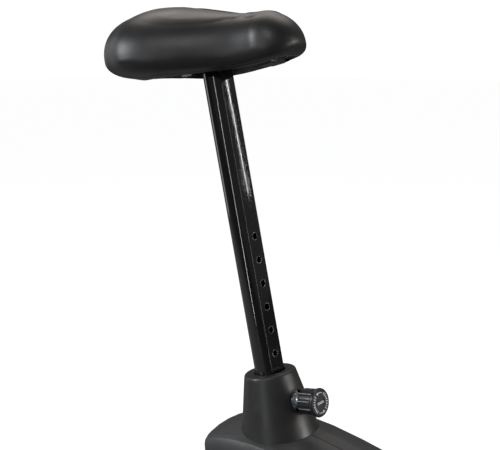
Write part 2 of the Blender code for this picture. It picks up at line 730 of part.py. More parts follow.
def crank_set():
    turned(
        "crank_axle",
        [(0.0, 0.0800), (AXLE_RADIUS, 0.0800), (AXLE_RADIUS, -0.0800), (0.0, -0.0800)],
        DARK_STEEL,
        turn=ALONG_Y,
        parent=crank_frame,
        steps=24,
    )
    rim, web, hub = PULLEY_RADIUS, 0.004, 0.0085
    turned(
        "crank_pulley",
        [
            (rim, 0.0075), (rim, -0.0075), (rim - 0.010, -0.0075), (rim - 0.012, -web), (0.024, -web),
            (0.021, -hub), (AXLE_RADIUS + GAP, -hub), (AXLE_RADIUS + GAP, hub), (0.021, hub), (0.024, web),
            (rim - 0.012, web), (rim - 0.010, 0.0075),
        ],
        BLACK_HARD,
        (0, BELT_PLANE, 0),
        ALONG_Y,
        crank_frame,
        steps=48,
        ring=True,
    )
    for side, sign in (("left", 1), ("right", -1)):
        bearing(f"crank_bearing_{side}", CRANK + Vector((0, sign * (0.034 - BEARING_WIDTH / 2), 0)))
        angle = CRANK_ANGLE + (math.pi if sign > 0 else 0.0)
        outline = circle((0, 0), 0.0205, 14, math.radians(70), math.radians(220))
        outline += circle((CRANK_ARM, 0), 0.0140, 10, math.radians(-80), math.radians(160))
        eye = circle((0, 0), AXLE_RADIUS + GAP)
        at, turn = (0, sign * 0.0710, 0), (math.radians(90), -angle, 0)
        arm = as_mesh(
            flat_shape(f"crank_arm_{side}", outline, 0.0140, BLACK_GLOSS, at, turn, crank_frame, [eye])
        )
        end = CRANK + CRANK_ARM * Vector((math.cos(angle), 0, math.sin(angle)))
        outward = (math.radians(-90 * sign), 0, 0)
        collar_of_spindle = cylinder_mesh(0.0105, 0.0760, 0.0860, 20)
        boolean(arm, cutter(f"spindle_collar_{side}", collar_of_spindle, end, outward), "UNION")
        spindle = cylinder_mesh(SPINDLE_RADIUS, 0.0840, SPINDLE_END, 16)
        boolean(arm, cutter(f"spindle_{side}", spindle, end, outward), "UNION")
        pedal(side, end + Vector((0, sign * 0.1300, 0)), outward)


SPINDLE_RADIUS = 0.0050
SPINDLE_END = 0.1670
PEDAL_SHIFT = Vector((-0.0027, 0.0, -0.0050))  # the block hangs below the spindle, so the strap stays on top

# one side of the strap's arch over the shoe: across and up from the pedal's middle
STRAP_ARCH = ((0.0473, 0.012), (0.0465, 0.030), (0.0410, 0.046), (0.0300, 0.056), (0.0150, 0.061), (0.0, 0.0625))


def pedal(side, centre, outward):
    """A block with two open slots, turning on the spindle, and the strap over the shoe."""
    block = box_mesh((-0.050, -0.043, -0.0125), (0.050, 0.043, 0.0125), 0.005, 2)
    middle = centre + PEDAL_SHIFT
    body = add(f"pedal_{side}", block, BLACK_HARD, middle)
    bore = cylinder_mesh(SPINDLE_RADIUS + GAP, -0.060, SPINDLE_END - 0.1300 + 0.0008, 16)
    boolean(body, cutter(f"pedal_bore_{side}", bore, centre, outward))
    for index, shift in enumerate((-0.030, 0.030)):
        slot = box_mesh((shift - 0.012, -0.031, -0.020), (shift + 0.012, 0.031, 0.020))
        boolean(body, cutter(f"pedal_slot_{index}_{side}", slot, middle))
    thick = 0.0022
    arch = [(0.0455, -0.0080), *STRAP_ARCH, *[(-y, z) for y, z in reversed(STRAP_ARCH[:-1])], (-0.0455, -0.0080)]
    inside = []
    for index, (y, z) in enumerate(arch):
        before, after = Vector(arch[max(index - 1, 0)]), Vector(arch[min(index + 1, len(arch) - 1)])
        along = (after - before).normalized()
        inside.append((y - along.y * thick, z + along.x * thick))
    inside[0], inside[-1] = (0.0433, -0.0080), (-0.0433, -0.0080)
    at, turn = centre + Vector((0.030, 0, 0)), (math.radians(90), 0, math.radians(90))
    as_mesh(flat_shape(f"pedal_strap_{side}", arch + inside[::-1], 0.026, BLACK_RUBBER, at, turn))


def belt_loop(away):
    """The outline of an open belt, this far outside both pulleys, in the XZ plane."""
    big, small = PULLEY_RADIUS + away, SMALL_PULLEY_RADIUS + away
    run = FLYWHEEL - CRANK
    heading = math.atan2(run.z, run.x)
    lean = math.acos((big - small) / run.length)
    loop = circle((CRANK.x, CRANK.z), big, 44, heading + lean, 2 * (math.pi - lean))
    return loop + circle((FLYWHEEL.x, FLYWHEEL.z), small, 14, heading - lean, 2 * lean)


def beside_lower_run(share, away):
    """A point at this share of the belt's lower run and this far outside the belt."""
    loop = belt_loop(GAP + BELT_THICKNESS)
    first, last = Vector(loop[43]), Vector(loop[44])
    along = (last - first).normalized()
    return first.lerp(last, share) + away * Vector((along.y, -along.x))


def flywheel_set():
    rim, half, web, hub = FLYWHEEL_RADIUS, 0.011, 0.005, 0.016
    turned(
        "flywheel",
        [
            (rim, half), (rim, -half), (0.088, -half), (0.084, -web), (0.028, -web), (0.022, -hub),
            (AXLE_RADIUS + GAP, -hub), (AXLE_RADIUS + GAP, hub), (0.022, hub), (0.028, web), (0.084, web),
            (0.088, half),
        ],
        CAST_IRON,
        turn=ALONG_Y,
        parent=flywheel_frame,
        steps=56,
        ring=True,
    )
    near, far = BELT_PLANE + 0.0075, BELT_PLANE - 0.0075
    turned(
        "flywheel_axle",
        [
            (0.0, 0.0340), (AXLE_RADIUS, 0.0340), (AXLE_RADIUS, near), (SMALL_PULLEY_RADIUS, near),
            (SMALL_PULLEY_RADIUS, far), (0.0, far),
        ],
        DARK_STEEL,
        turn=ALONG_Y,
        parent=flywheel_frame,
        steps=28,
    )
    for side, sign in (("left", 1), ("right", -1)):
        bearing(f"flywheel_bearing_{side}", FLYWHEEL + Vector((0, sign * (FORK_INSIDE + PLATE / 2), 0)))
    outline, inside = belt_loop(GAP + BELT_THICKNESS), belt_loop(GAP)
    at = (0, BELT_PLANE, 0)
    as_mesh(
        flat_shape("drive_belt", outline, BELT_WIDTH, BLACK_RUBBER, at, (math.radians(90), 0, 0), holes=[inside])
    )


def idler():
    """The wheel that presses on the belt's lower run, and its arm on the right fork plate."""
    centre = beside_lower_run(0.45, IDLER_RADIUS + GAP)
    turned(
        "idler_wheel",
        sleeve_profile(IDLER_RADIUS, 0.0040 + GAP, -0.0070, 0.0070),
        BLACK_HARD,
        (centre.x, BELT_PLANE, centre.y),
        ALONG_Y,
        steps=28,
        ring=True,
    )
    anchor = Vector((FLYWHEEL.x - 0.035, 0.155))
    across = math.atan2(anchor.y - centre.y, anchor.x - centre.x) + math.pi / 2
    outline = circle(centre, 0.010, 10, across, math.pi) + circle(anchor, 0.012, 10, across - math.pi, math.pi)
    arm_y = -(FORK_INSIDE + PLATE + GAP + 0.002)
    at = (0, arm_y, 0)
    arm = as_mesh(flat_shape("idler_arm", outline, 0.004, DARK_STEEL, at, (math.radians(90), 0, 0)))
    axle = cylinder_mesh(0.0040, BELT_PLANE - 0.0085, arm_y, 16)
    boolean(arm, cutter("idler_axle", axle, (centre.x, 0, centre.y), ALONG_Y), "UNION")


BRAKE_PIVOT = Vector((FLYWHEEL.x + 0.054, 0.0, FLYWHEEL.z - 0.117))


def brake():
    """Magnet plates either side of the flywheel's rim, swinging on a pin at their foot, and the motor."""
    back = FLYWHEEL_RADIUS + 0.0085
    outline = [
        (back, 0.040), (back, -0.030), (0.064, -0.125), (0.050, -0.127), (0.046, -0.112), (0.086, -0.028),
        (0.090, 0.040),
    ]
    sides = []
    for side, sign in (("left", 1), ("right", -1)):
        at = FLYWHEEL + Vector((0, sign * 0.0175, 0))
        plate = flat_shape(f"brake_{side}", outline, 0.003, DARK_STEEL, at, (math.radians(90), 0, 0))
        sides.append(as_mesh(plate))
    bracket = sides[0]
    bracket.name = "brake_bracket"
    boolean(bracket, as_cutter(sides[1]), "UNION")
    web = box_mesh((back - 0.0055, -0.0175, -0.028), (back - 0.0005, 0.0175, 0.038))
    boolean(bracket, cutter("brake_web", web, FLYWHEEL), "UNION")
    pin = cylinder_mesh(0.003, -(FORK_INSIDE + PLATE), FORK_INSIDE + PLATE, 12)
    boolean(bracket, cutter("brake_pin", pin, BRAKE_PIVOT, ALONG_Y), "UNION")
    block = box_mesh((-0.028, -0.022, 0), (0.028, 0.022, 0.040), 0.003, 1)
    add("resistance_motor", block, BLACK_HARD, (0.125, 0, BEAM_TOP + GAP))


# ---------------------------------------------------------------- mast, handlebar and console


def mast():
    """The tube in the fork's socket, with the bar's clamp and the console's bracket welded to its head."""
    tube = turned(
        "mast",
        sleeve_profile(MAST_RADIUS, MAST_RADIUS - 0.002, 0.004, MAST_LENGTH - 0.002),
        BLACK_GLOSS,
        parent=mast_frame,
        ring=True,
    )
    lid = cylinder_mesh(MAST_RADIUS - 0.001, MAST_LENGTH - 0.008, MAST_LENGTH - 0.001, 32)
    boolean(tube, cutter("mast_lid", lid, parent=mast_frame), "UNION")
    ring = cylinder_mesh(0.0270, -0.022, 0.022, 32)
    boolean(tube, cutter("bar_clamp", ring, turn=ALONG_Y, parent=bar_frame), "UNION")
    head = MAST_FOOT + (MAST_LENGTH + BAR_LIFT) * Vector((-math.sin(MAST_LEAN), 0, math.cos(MAST_LEAN)))
    along = Vector((math.cos(CONSOLE_TILT), 0, math.sin(CONSOLE_TILT)))
    normal = Vector((-math.sin(CONSOLE_TILT), 0, math.cos(CONSOLE_TILT)))
    seat = CONSOLE_AT - (CONSOLE_HALF_DEPTH + GAP) * normal
    corners = [head + Vector((0.002, 0, 0.022)), head + Vector((0.021, 0, 0.004))]
    corners += [seat + 0.025 * along, seat - 0.035 * along]
    outline = [(corner.x, corner.z) for corner in corners]
    bracket = flat_shape("console_bracket", outline, 0.034, BLACK_GLOSS, turn=(math.radians(90), 0, 0))
    boolean(tube, as_cutter(as_mesh(bracket)), "UNION")
    bore = cylinder_mesh(BAR_RADIUS + GAP, -0.05, 0.05, 24)
    boolean(tube, cutter("bar_clamp_bore", bore, turn=ALONG_Y, parent=bar_frame))
    stud_hole = cylinder_mesh(0.0048, 0.0, 0.060, 16)
    boolean(tube, cutter("clamp_stud_hole", stud_hole, turn=(0, math.radians(-90), 0), parent=bar_frame))


# the left half of the bar from its middle to its end
BAR_ROUTE = (
    (0.0, 0.0, 0.0), (0.0, 0.030, 0.0), (0.0, 0.056, 0.0), (0.022, 0.104, 0.006), (0.050, 0.160, 0.020),
    (0.046, 0.212, 0.036), (0.000, 0.238, 0.046), (-0.070, 0.246, 0.050), (-0.150, 0.246, 0.048),
)
GRIP_POINTS = 11  # points of the bar's route that a grip covers


def handlebar():
    left = framed(smooth_route(BAR_ROUTE, 4))
    right = [tuple(Vector((v.x, -v.y, v.z)) for v in frame) for frame in left]
    swept("handlebar", [*reversed(right[1:]), *left], BAR_RADIUS, BLACK_GLOSS, bar_frame)
    for side, held in (("left", left[-GRIP_POINTS:]), ("right", right[-GRIP_POINTS:])):
        end, *axes = held[-1]
        along = (end - held[-2][0]).normalized()
        grip = swept(f"grip_{side}", [*held, (end + 0.005 * along, *axes)], GRIP_RADIUS, BLACK_FOAM, bar_frame)
        before = (held[0][0] - 0.010 * (held[1][0] - held[0][0]).normalized(), *held[0][1:])
        core = [before, *held[:-1], (end + GAP * along, *axes)]
        boolean(grip, as_cutter(swept(f"core_{side}", core, BAR_RADIUS + GAP, BLACK_FOAM, bar_frame)))
    rear = (0, math.radians(-90), 0)
    profile = [(0.0, 0.0500), (0.0045, 0.0500), (0.0045, BAR_RADIUS + 2 * GAP), (0.0, BAR_RADIUS + 2 * GAP)]
    knob = turned("clamp_knob", profile, BLACK_HARD, turn=rear, parent=bar_frame, steps=16)
    wing = box_mesh((-0.0085, -0.032, 0.0440), (0.0085, 0.032, 0.0600), 0.006, 2)
    boolean(knob, cutter("clamp_wing", wing, turn=rear, parent=bar_frame), "UNION")


CONSOLE_HALF_DEPTH = 0.016


def console():
    low, high = (-0.080, -0.110, -CONSOLE_HALF_DEPTH), (0.080, 0.110, CONSOLE_HALF_DEPTH)
    housing = add("console_housing", box_mesh(low, high, 0.010, 3), BLACK_SATIN, parent=console_frame)
    recess = box_mesh((-0.018, -0.075, 0.0125), (0.058, 0.075, 0.0300))
    boolean(housing, cutter("window_recess", recess, parent=console_frame))
    low, high = (-0.018 + GAP, -0.075 + GAP, 0.0125 + GAP), (0.058 - GAP, 0.075 - GAP, 0.0155)
    add("console_window", box_mesh(low, high), SCREEN, parent=console_frame)
    for index in range(KEYS):
        place = (-0.048, KEY_PITCH * (index - (KEYS - 1) / 2), 0)
        well = cylinder_mesh(0.0094, 0.0100, 0.0300, 20)
        boolean(housing, cutter(f"key_well_{index + 1}", well, place, parent=console_frame))
        key = cylinder_mesh(0.0090, 0.0125, 0.0180, 20)
        add(f"console_key_{index + 1}", key, GREY_KEY, place, parent=console_frame)


# ---------------------------------------------------------------- housing

# side outline of the housing from its rear foot up, over the top and down to its front foot; open below
HOUSING_OUTLINE = (
    (-0.120, HOUSING_FOOT), (-0.150, 0.1350), (-0.176, 0.1800), (-0.206, 0.2600), (-0.233, 0.3400),
    (-0.251, 0.4000), (-0.2575, 0.4300), (-0.2560, 0.4440), (-0.2480, 0.4520), (-0.2340, 0.4595),
    (-0.2150, 0.4665), (-0.1900, 0.4720), (-0.1650, 0.4752), (-0.1400, 0.4763),
    (-0.112, 0.4760), (-0.089, 0.4740), (-0.067, 0.4720), (-0.030, 0.4670), (0.020, 0.4600), (0.080, 0.4530),
    (0.150, 0.4500), (0.230, 0.4500), (0.300, 0.4470), (0.350, 0.4370), (0.390, 0.4100), (0.415, 0.3700),
    (0.427, 0.3200), (0.427, 0.2650), (0.415, 0.2100), (0.390, 0.1650), (0.360, 0.1350), (0.325, HOUSING_FOOT),
)
# levels across the width: distance from the middle, inset of the top, inset of the ends
HOUSING_LEVELS = (
    (GAP, -0.0010, 0.000), (0.0200, -0.0002, 0.0015), (0.0380, 0.0028, 0.0050), (0.0480, 0.0058, 0.0100),
    (0.0535, 0.0090, 0.0150), (0.0570, 0.0160, 0.0210), (0.0600, 0.0320, 0.0340),
)


def housing_ring(sign, y, top, end):
    ring = []
    last = len(HOUSING_OUTLINE) - 1
    for index, point in enumerate(HOUSING_OUTLINE):
        before, after = Vector(HOUSING_OUTLINE[max(index - 1, 0)]), Vector(HOUSING_OUTLINE[min(index + 1, last)])
        along = (after - before).normalized()
        inward = Vector((along.y, -along.x))
        moved = Vector(point) + (top + (end - top) * inward.x**2) * inward
        if index in (0, last):
            moved.y = HOUSING_FOOT
        ring.append((moved.x, sign * y, moved.y))
    return ring


def housing_half(side, sign):
    bm = bmesh.new()
    rows = [[bm.verts.new(p) for p in housing_ring(sign, *level)] for level in HOUSING_LEVELS]
    for first, second in zip(rows, rows[1:]):
        for i in range(len(first) - 1):
            bm.faces.new((first[i], second[i], second[i + 1], first[i + 1]))
    bm.faces.new(reversed(rows[-1]))
    if sign > 0:
        bmesh.ops.reverse_faces(bm, faces=bm.faces)
    shell = add(f"housing_{side}", finished(bm, "housing"), BLACK_SATIN)
    wall = shell.modifiers.new("wall", "SOLIDIFY")
    wall.thickness = HOUSING_WALL
    wall.offset = -1.0
    eye = cylinder_mesh(0.0160, -0.090, 0.090, 24)
    boolean(shell, cutter(f"crank_eye_{side}", eye, CRANK, ALONG_Y))
    low, high = -0.022, 0.060
    cone = cylinder_mesh(collar_radius(low) + GAP, low, high, 40, collar_radius(high) + GAP)
    boolean(shell, cutter(f"collar_hole_{side}", cone, parent=seat_frame))
    mast_hole = cylinder_mesh(0.0375, -0.060, 0.060, 36)
    boolean(shell, cutter(f"mast_hole_{side}", mast_hole, parent=mast_frame))


seat_post()
saddle()
collar()
seat_tube()
lock()
beam_and_column()
front_fork()
stabiliser("rear", REAR_X)
stabiliser("front", FRONT_X)
feet()
crank_set()
flywheel_set()
idler()
brake()
mast()
handlebar()
console()
housing_half("left", 1)
housing_half("right", -1)
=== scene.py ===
import json
import math

import bmesh
import bpy
from mathutils import Matrix, Vector
from mathutils.bvhtree import BVHTree


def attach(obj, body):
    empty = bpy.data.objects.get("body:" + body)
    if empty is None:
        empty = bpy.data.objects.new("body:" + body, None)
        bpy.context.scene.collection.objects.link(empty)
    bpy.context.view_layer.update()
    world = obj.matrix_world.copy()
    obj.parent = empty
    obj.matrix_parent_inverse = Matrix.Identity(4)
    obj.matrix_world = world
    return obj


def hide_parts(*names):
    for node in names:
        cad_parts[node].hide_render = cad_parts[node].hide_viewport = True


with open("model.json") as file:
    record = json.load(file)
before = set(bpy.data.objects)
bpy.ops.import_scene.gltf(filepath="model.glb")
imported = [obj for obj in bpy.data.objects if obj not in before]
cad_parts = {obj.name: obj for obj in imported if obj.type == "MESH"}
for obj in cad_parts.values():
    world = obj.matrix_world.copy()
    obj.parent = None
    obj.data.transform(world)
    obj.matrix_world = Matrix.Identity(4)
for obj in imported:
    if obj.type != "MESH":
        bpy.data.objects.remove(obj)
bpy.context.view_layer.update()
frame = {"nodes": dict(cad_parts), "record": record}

# ---- Studio -----------------------------------------------------------------------------------
# A white floor and a white surround. The camera stands at the rider's right, level with the top of
# the seat post, and looks down a little at the lock knob, the post and the saddle.
CAMERA_AT = (0.38857, -0.69049, 0.93304)
CAMERA_DOWN = math.radians(12.62)
CAMERA_TURN = math.radians(40.94)
LENS_MM = 53.8

camera_data = bpy.data.cameras.new("camera")
camera_data.lens = LENS_MM
camera_data.clip_start = 0.02
camera_data.clip_end = 100.0
camera = bpy.data.objects.new("camera", camera_data)
camera.location = CAMERA_AT
camera.rotation_euler = (math.radians(90) - CAMERA_DOWN, 0.0, CAMERA_TURN)
bpy.context.scene.collection.objects.link(camera)
bpy.context.scene.camera = camera
bpy.context.scene.view_settings.view_transform = "Standard"

world = bpy.data.worlds.new("studio")
bpy.context.scene.world = world
world.use_nodes = True
sky = world.node_tree
surround = sky.nodes["Background"]
surround.inputs["Color"].default_value = (0.80, 0.82, 0.86, 1.0)
surround.inputs["Strength"].default_value = 0.16
backdrop = sky.nodes.new("ShaderNodeBackground")
backdrop.inputs["Color"].default_value = (1.0, 1.0, 1.0, 1.0)
backdrop.inputs["Strength"].default_value = 1.05
ray = sky.nodes.new("ShaderNodeLightPath")
either = sky.nodes.new("ShaderNodeMixShader")
sky.links.new(ray.outputs["Is Camera Ray"], either.inputs["Fac"])
sky.links.new(surround.outputs["Background"], either.inputs[1])
sky.links.new(backdrop.outputs["Background"], either.inputs[2])
sky.links.new(either.outputs["Shader"], sky.nodes["World Output"].inputs["Surface"])


def softbox(name, at, aim, size, power, colour=(1.0, 1.0, 1.0)):
    """A rectangular studio light turned towards the point it lights."""
    data = bpy.data.lights.new(name, "AREA")
    data.shape = "RECTANGLE"
    data.size, data.size_y = size
    data.energy = power
    data.color = colour
    lamp = bpy.data.objects.new(name, data)
    lamp.location = at
    lamp.rotation_euler = (Vector(aim) - Vector(at)).to_track_quat("-Z", "Y").to_euler()
    bpy.context.scene.collection.objects.link(lamp)


SADDLE_MIDDLE, POST_LOW, POST_HIGH = (-0.26, 0.0, 0.98), (-0.2, 0.0, 0.7), (-0.2, 0.0, 0.8)
softbox("overhead", (-1.0, 0.9, 2.7), SADDLE_MIDDLE, (2.0, 1.4), 22.0, (1.0, 0.93, 0.86))
softbox("left_bank", (-1.9, -2.0, 1.8), SADDLE_MIDDLE, (0.9, 1.1), 50.0, (0.93, 0.96, 1.0))
softbox("front_top", (0.3, -1.9, 2.6), SADDLE_MIDDLE, (0.9, 0.6), 12.0, (0.97, 0.98, 1.0))
softbox("right_bank", (2.16, 1.1, 1.05), (-0.14, 0.0, 0.6), (0.8, 2.0), 40.0, (1.0, 0.97, 0.93))
softbox("rear_strip", (-2.5, -0.35, 1.0), POST_LOW, (0.8, 1.9), 5.0)
softbox("side_strip", (-0.12, -2.7, 1.15), POST_LOW, (0.06, 2.2), 9.0)
softbox("far_strip", (1.75, 2.28, 1.60), POST_HIGH, (0.03, 0.9), 2.2)

floor_mesh = bpy.data.meshes.new("floor")
form = bmesh.new()
bmesh.ops.create_grid(form, x_segments=1, y_segments=1, size=30.0)
form.to_mesh(floor_mesh)
form.free()
floor = bpy.data.objects.new("floor", floor_mesh)
bpy.context.scene.collection.objects.link(floor)
paper = bpy.data.materials.new("white_paper")
paper.use_nodes = True
tree = paper.node_tree
sheet = tree.nodes["Principled BSDF"]
sheet.inputs["Roughness"].default_value = 0.9
sheet.inputs["Emission Color"].default_value = (1.0, 1.0, 1.0, 1.0)
fibres = tree.nodes.new("ShaderNodeTexNoise")
fibres.inputs["Scale"].default_value = 900.0
shade = tree.nodes.new("ShaderNodeMapRange")
shade.inputs["To Min"].default_value = 0.20
shade.inputs["To Max"].default_value = 0.23
seen = tree.nodes.new("ShaderNodeLightPath")
glow = tree.nodes.new("ShaderNodeMath")
glow.operation = "MULTIPLY"
glow.inputs[1].default_value = 0.95
place = tree.nodes.new("ShaderNodeTexCoord")
tree.links.new(place.outputs["Object"], fibres.inputs["Vector"])
tree.links.new(fibres.outputs["Fac"], shade.inputs["Value"])
tree.links.new(shade.outputs["Result"], sheet.inputs["Base Color"])
tree.links.new(seen.outputs["Is Camera Ray"], glow.inputs[0])
tree.links.new(glow.outputs["Value"], sheet.inputs["Emission Strength"])
floor.data.materials.append(paper)

# ---- Base beam, stabilisers and their bolts -----------------------------------------------------
# The base is a rectangular steel tube with a round steel tube bolted across each end. All three are
# sprayed gloss black, and the bolts are bright zinc.


def finish_of(name, roughness, metallic=0.0, coat=0.0):
    """A new material and its shader, with the values that are the same all over set on its sockets."""
    made = bpy.data.materials.new(name)
    made.use_nodes = True
    shader = made.node_tree.nodes["Principled BSDF"]
    shader.inputs["Roughness"].default_value = roughness
    shader.inputs["Metallic"].default_value = metallic
    shader.inputs["Coat Weight"].default_value = coat
    return made, shader


def grain(made, scale, detail=3.0, stretch=(1.0, 1.0, 1.0)):
    """A noise on Object coordinates, finer in the axes that are stretched more."""
    tree = made.node_tree
    place = tree.nodes.new("ShaderNodeTexCoord")
    mapping = tree.nodes.new("ShaderNodeMapping")
    mapping.inputs["Scale"].default_value = stretch
    noise = tree.nodes.new("ShaderNodeTexNoise")
    noise.inputs["Scale"].default_value = scale
    noise.inputs["Detail"].default_value = detail
    tree.links.new(place.outputs["Object"], mapping.inputs["Vector"])
    tree.links.new(mapping.outputs["Vector"], noise.inputs["Vector"])
    return noise.outputs["Fac"]


def cells(made, scale):
    """A cell pattern on Object coordinates: the distance from each cell's middle."""
    tree = made.node_tree
    place = tree.nodes.new("ShaderNodeTexCoord")
    voronoi = tree.nodes.new("ShaderNodeTexVoronoi")
    voronoi.inputs["Scale"].default_value = scale
    tree.links.new(place.outputs["Object"], voronoi.inputs["Vector"])
    return voronoi.outputs["Distance"]


def spread(made, value, low, high, start=0.3, end=0.7):
    """Turns a 0 to 1 pattern into a number between low and high."""
    tree = made.node_tree
    ranged = tree.nodes.new("ShaderNodeMapRange")
    ranged.inputs["From Min"].default_value = start
    ranged.inputs["From Max"].default_value = end
    ranged.inputs["To Min"].default_value = low
    ranged.inputs["To Max"].default_value = high
    tree.links.new(value, ranged.inputs["Value"])
    return ranged.outputs["Result"]


def roughened(made, value, low, high):
    """Varies the surface's roughness between two values by a pattern."""
    shader = made.node_tree.nodes["Principled BSDF"]
    made.node_tree.links.new(spread(made, value, low, high), shader.inputs["Roughness"])


def tinted(made, value, first, second, start=0.3, end=0.7):
    """Colours the surface between two colours by a pattern."""
    tree = made.node_tree
    ramp = tree.nodes.new("ShaderNodeValToRGB")
    ramp.color_ramp.elements[0].position = start
    ramp.color_ramp.elements[0].color = (*first, 1.0)
    ramp.color_ramp.elements[1].position = end
    ramp.color_ramp.elements[1].color = (*second, 1.0)
    tree.links.new(value, ramp.inputs["Fac"])
    tree.links.new(ramp.outputs["Color"], tree.nodes["Principled BSDF"].inputs["Base Color"])


def embossed(made, value, depth, strength=1.0):
    """Raises the surface by a pattern, this many metres high."""
    tree = made.node_tree
    bump = tree.nodes.new("ShaderNodeBump")
    bump.inputs["Distance"].default_value = depth
    bump.inputs["Strength"].default_value = strength
    tree.links.new(value, bump.inputs["Height"])
    tree.links.new(bump.outputs["Normal"], tree.nodes["Principled BSDF"].inputs["Normal"])


gloss_paint, shader = finish_of("gloss_black_paint", 0.16, coat=0.5)
shader.inputs["Coat Roughness"].default_value = 0.05
tinted(gloss_paint, grain(gloss_paint, 9.0), (0.0055, 0.0055, 0.006), (0.010, 0.010, 0.011))
roughened(gloss_paint, grain(gloss_paint, 26.0), 0.12, 0.24)
embossed(gloss_paint, grain(gloss_paint, 420.0, 2.0), 0.00003, 0.35)

zinc, shader = finish_of("zinc_plate", 0.34, metallic=0.7)
tinted(zinc, grain(zinc, 70.0), (0.72, 0.79, 0.87), (0.86, 0.90, 0.94))
roughened(zinc, grain(zinc, 260.0), 0.18, 0.36)
embossed(zinc, grain(zinc, 900.0), 0.00002, 0.4)


bodies_of = {node: body for body, nodes in frame["record"]["behaviour"]["bodies"].items() for node in nodes}
slots_of = {part["node"]: part["material_slot"] for part in frame["record"]["subparts"]}


def settle(piece, body, slot, *nodes):
    """Puts a finished piece on its body in place of the CAD nodes it stands for."""
    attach(piece, body)
    if nodes:
        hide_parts(*nodes)


def dressed(node, finish, edge=0.0006, angle=35.0):
    """A clean copy of a CAD node with its sharp edges broken, standing for that node on its body."""
    form = bmesh.new()
    form.from_mesh(frame["nodes"][node].data)
    bmesh.ops.remove_doubles(form, verts=form.verts, dist=0.00001)
    bmesh.ops.dissolve_limit(
        form, angle_limit=math.radians(0.5), verts=form.verts, edges=form.edges, use_dissolve_boundaries=False
    )
    mesh = bpy.data.meshes.new(node + "_skin")
    form.to_mesh(mesh)
    form.free()
    mesh.shade_smooth()
    mesh.set_sharp_from_angle(angle=math.radians(angle))
    piece = bpy.data.objects.new(node + "_skin", mesh)
    bpy.context.scene.collection.objects.link(piece)
    mesh.materials.append(finish)
    if edge:
        broken = piece.modifiers.new("broken_edges", "BEVEL")
        broken.width = edge
        broken.segments = 2
        broken.limit_method = "ANGLE"
        broken.angle_limit = math.radians(angle)
    settle(piece, bodies_of[node], slots_of[node], node)
    return piece


for node in ("base_beam", "rear_stabiliser", "front_stabiliser"):
    dressed(node, gloss_paint)
for node in ("rear_bolts", "front_bolts"):
    dressed(node, zinc, 0.0004)

# ---- Feet and transport wheels ------------------------------------------------------------------
# Moulded caps close the ends of the cross tubes. The rear ones hold screwed levelling feet and the
# front ones hold a wheel each, which meets the floor when the bike is tipped forward.
satin_plastic, shader = finish_of("satin_black_plastic", 0.42)
tinted(satin_plastic, grain(satin_plastic, 14.0), (0.021, 0.021, 0.021), (0.030, 0.030, 0.029))
roughened(satin_plastic, grain(satin_plastic, 60.0), 0.36, 0.48)
embossed(satin_plastic, cells(satin_plastic, 1500.0), 0.00006, 0.30)

rubber, shader = finish_of("black_rubber", 0.72)
tinted(rubber, grain(rubber, 45.0), (0.012, 0.012, 0.012), (0.024, 0.023, 0.022))
embossed(rubber, grain(rubber, 900.0), 0.00008, 0.5)

for side in ("left", "right"):
    dressed(f"rear_cap_{side}", satin_plastic, 0.0008)
    dressed(f"front_cap_{side}", satin_plastic, 0.0008)
    dressed(f"levelling_foot_{side}", rubber, 0.0005)
    dressed(f"transport_wheel_{side}", rubber, 0.0006)

# ---- Welded uprights ----------------------------------------------------------------------------
# The crank column, the seat tube with its lock boss, and the fork that carries the flywheel and the
# mast's socket are welded to the beam and painted with it.
for node in ("crank_column", "seat_tube", "front_fork"):
    dressed(node, gloss_paint, 0.0005)

machined, shader = finish_of("machined_steel", 0.34, metallic=1.0)
tinted(machined, grain(machined, 50.0), (0.17, 0.17, 0.18), (0.30, 0.30, 0.31))
roughened(machined, grain(machined, 300.0), 0.28, 0.45)
embossed(machined, grain(machined, 500.0), 0.00003, 0.4)
dressed("lock_boss", machined, 0.0004)
dressed("seat_bushing", satin_plastic, 0.0003)

# ---- Drive inside the housing -------------------------------------------------------------------
# Crank axle and pulley, belt, idler, iron flywheel and the magnet bracket with its motor. The iron
# is as cast, the pulley is moulded, and the belt is ribbed rubber.
hard_plastic, shader = finish_of("hard_black_plastic", 0.30)
tinted(hard_plastic, grain(hard_plastic, 20.0), (0.013, 0.013, 0.015), (0.021, 0.021, 0.024))
roughened(hard_plastic, grain(hard_plastic, 90.0), 0.24, 0.38)
embossed(hard_plastic, grain(hard_plastic, 1400.0), 0.00003, 0.35)

cast, shader = finish_of("cast_iron", 0.5, metallic=0.8)
tinted(cast, grain(cast, 35.0), (0.05, 0.05, 0.052), (0.14, 0.135, 0.13))
roughened(cast, grain(cast, 120.0), 0.38, 0.62)
embossed(cast, grain(cast, 350.0, 6.0), 0.00025, 0.6)

for node in ("crank_axle", "flywheel_axle", "idler_arm", "brake_bracket"):
    dressed(node, machined, 0.0004)
for side in ("left", "right"):
    dressed(f"crank_bearing_{side}", machined, 0.0004)
    dressed(f"flywheel_bearing_{side}", machined, 0.0004)
for node in ("crank_pulley", "idler_wheel", "resistance_motor"):
    dressed(node, hard_plastic, 0.0006)
dressed("drive_belt", rubber, 0.0003)
dressed("flywheel", cast, 0.0008)

# ---- Crank arms and pedals ----------------------------------------------------------------------
# Painted steel arms with the pedal spindles screwed in. Each pedal is a moulded block with a rubber
# strap over the shoe.
for side in ("left", "right"):
    dressed(f"crank_arm_{side}", gloss_paint, 0.0012)
    dressed(f"pedal_{side}", hard_plastic, 0.0006)
    dressed(f"pedal_strap_{side}", rubber, 0.0005)

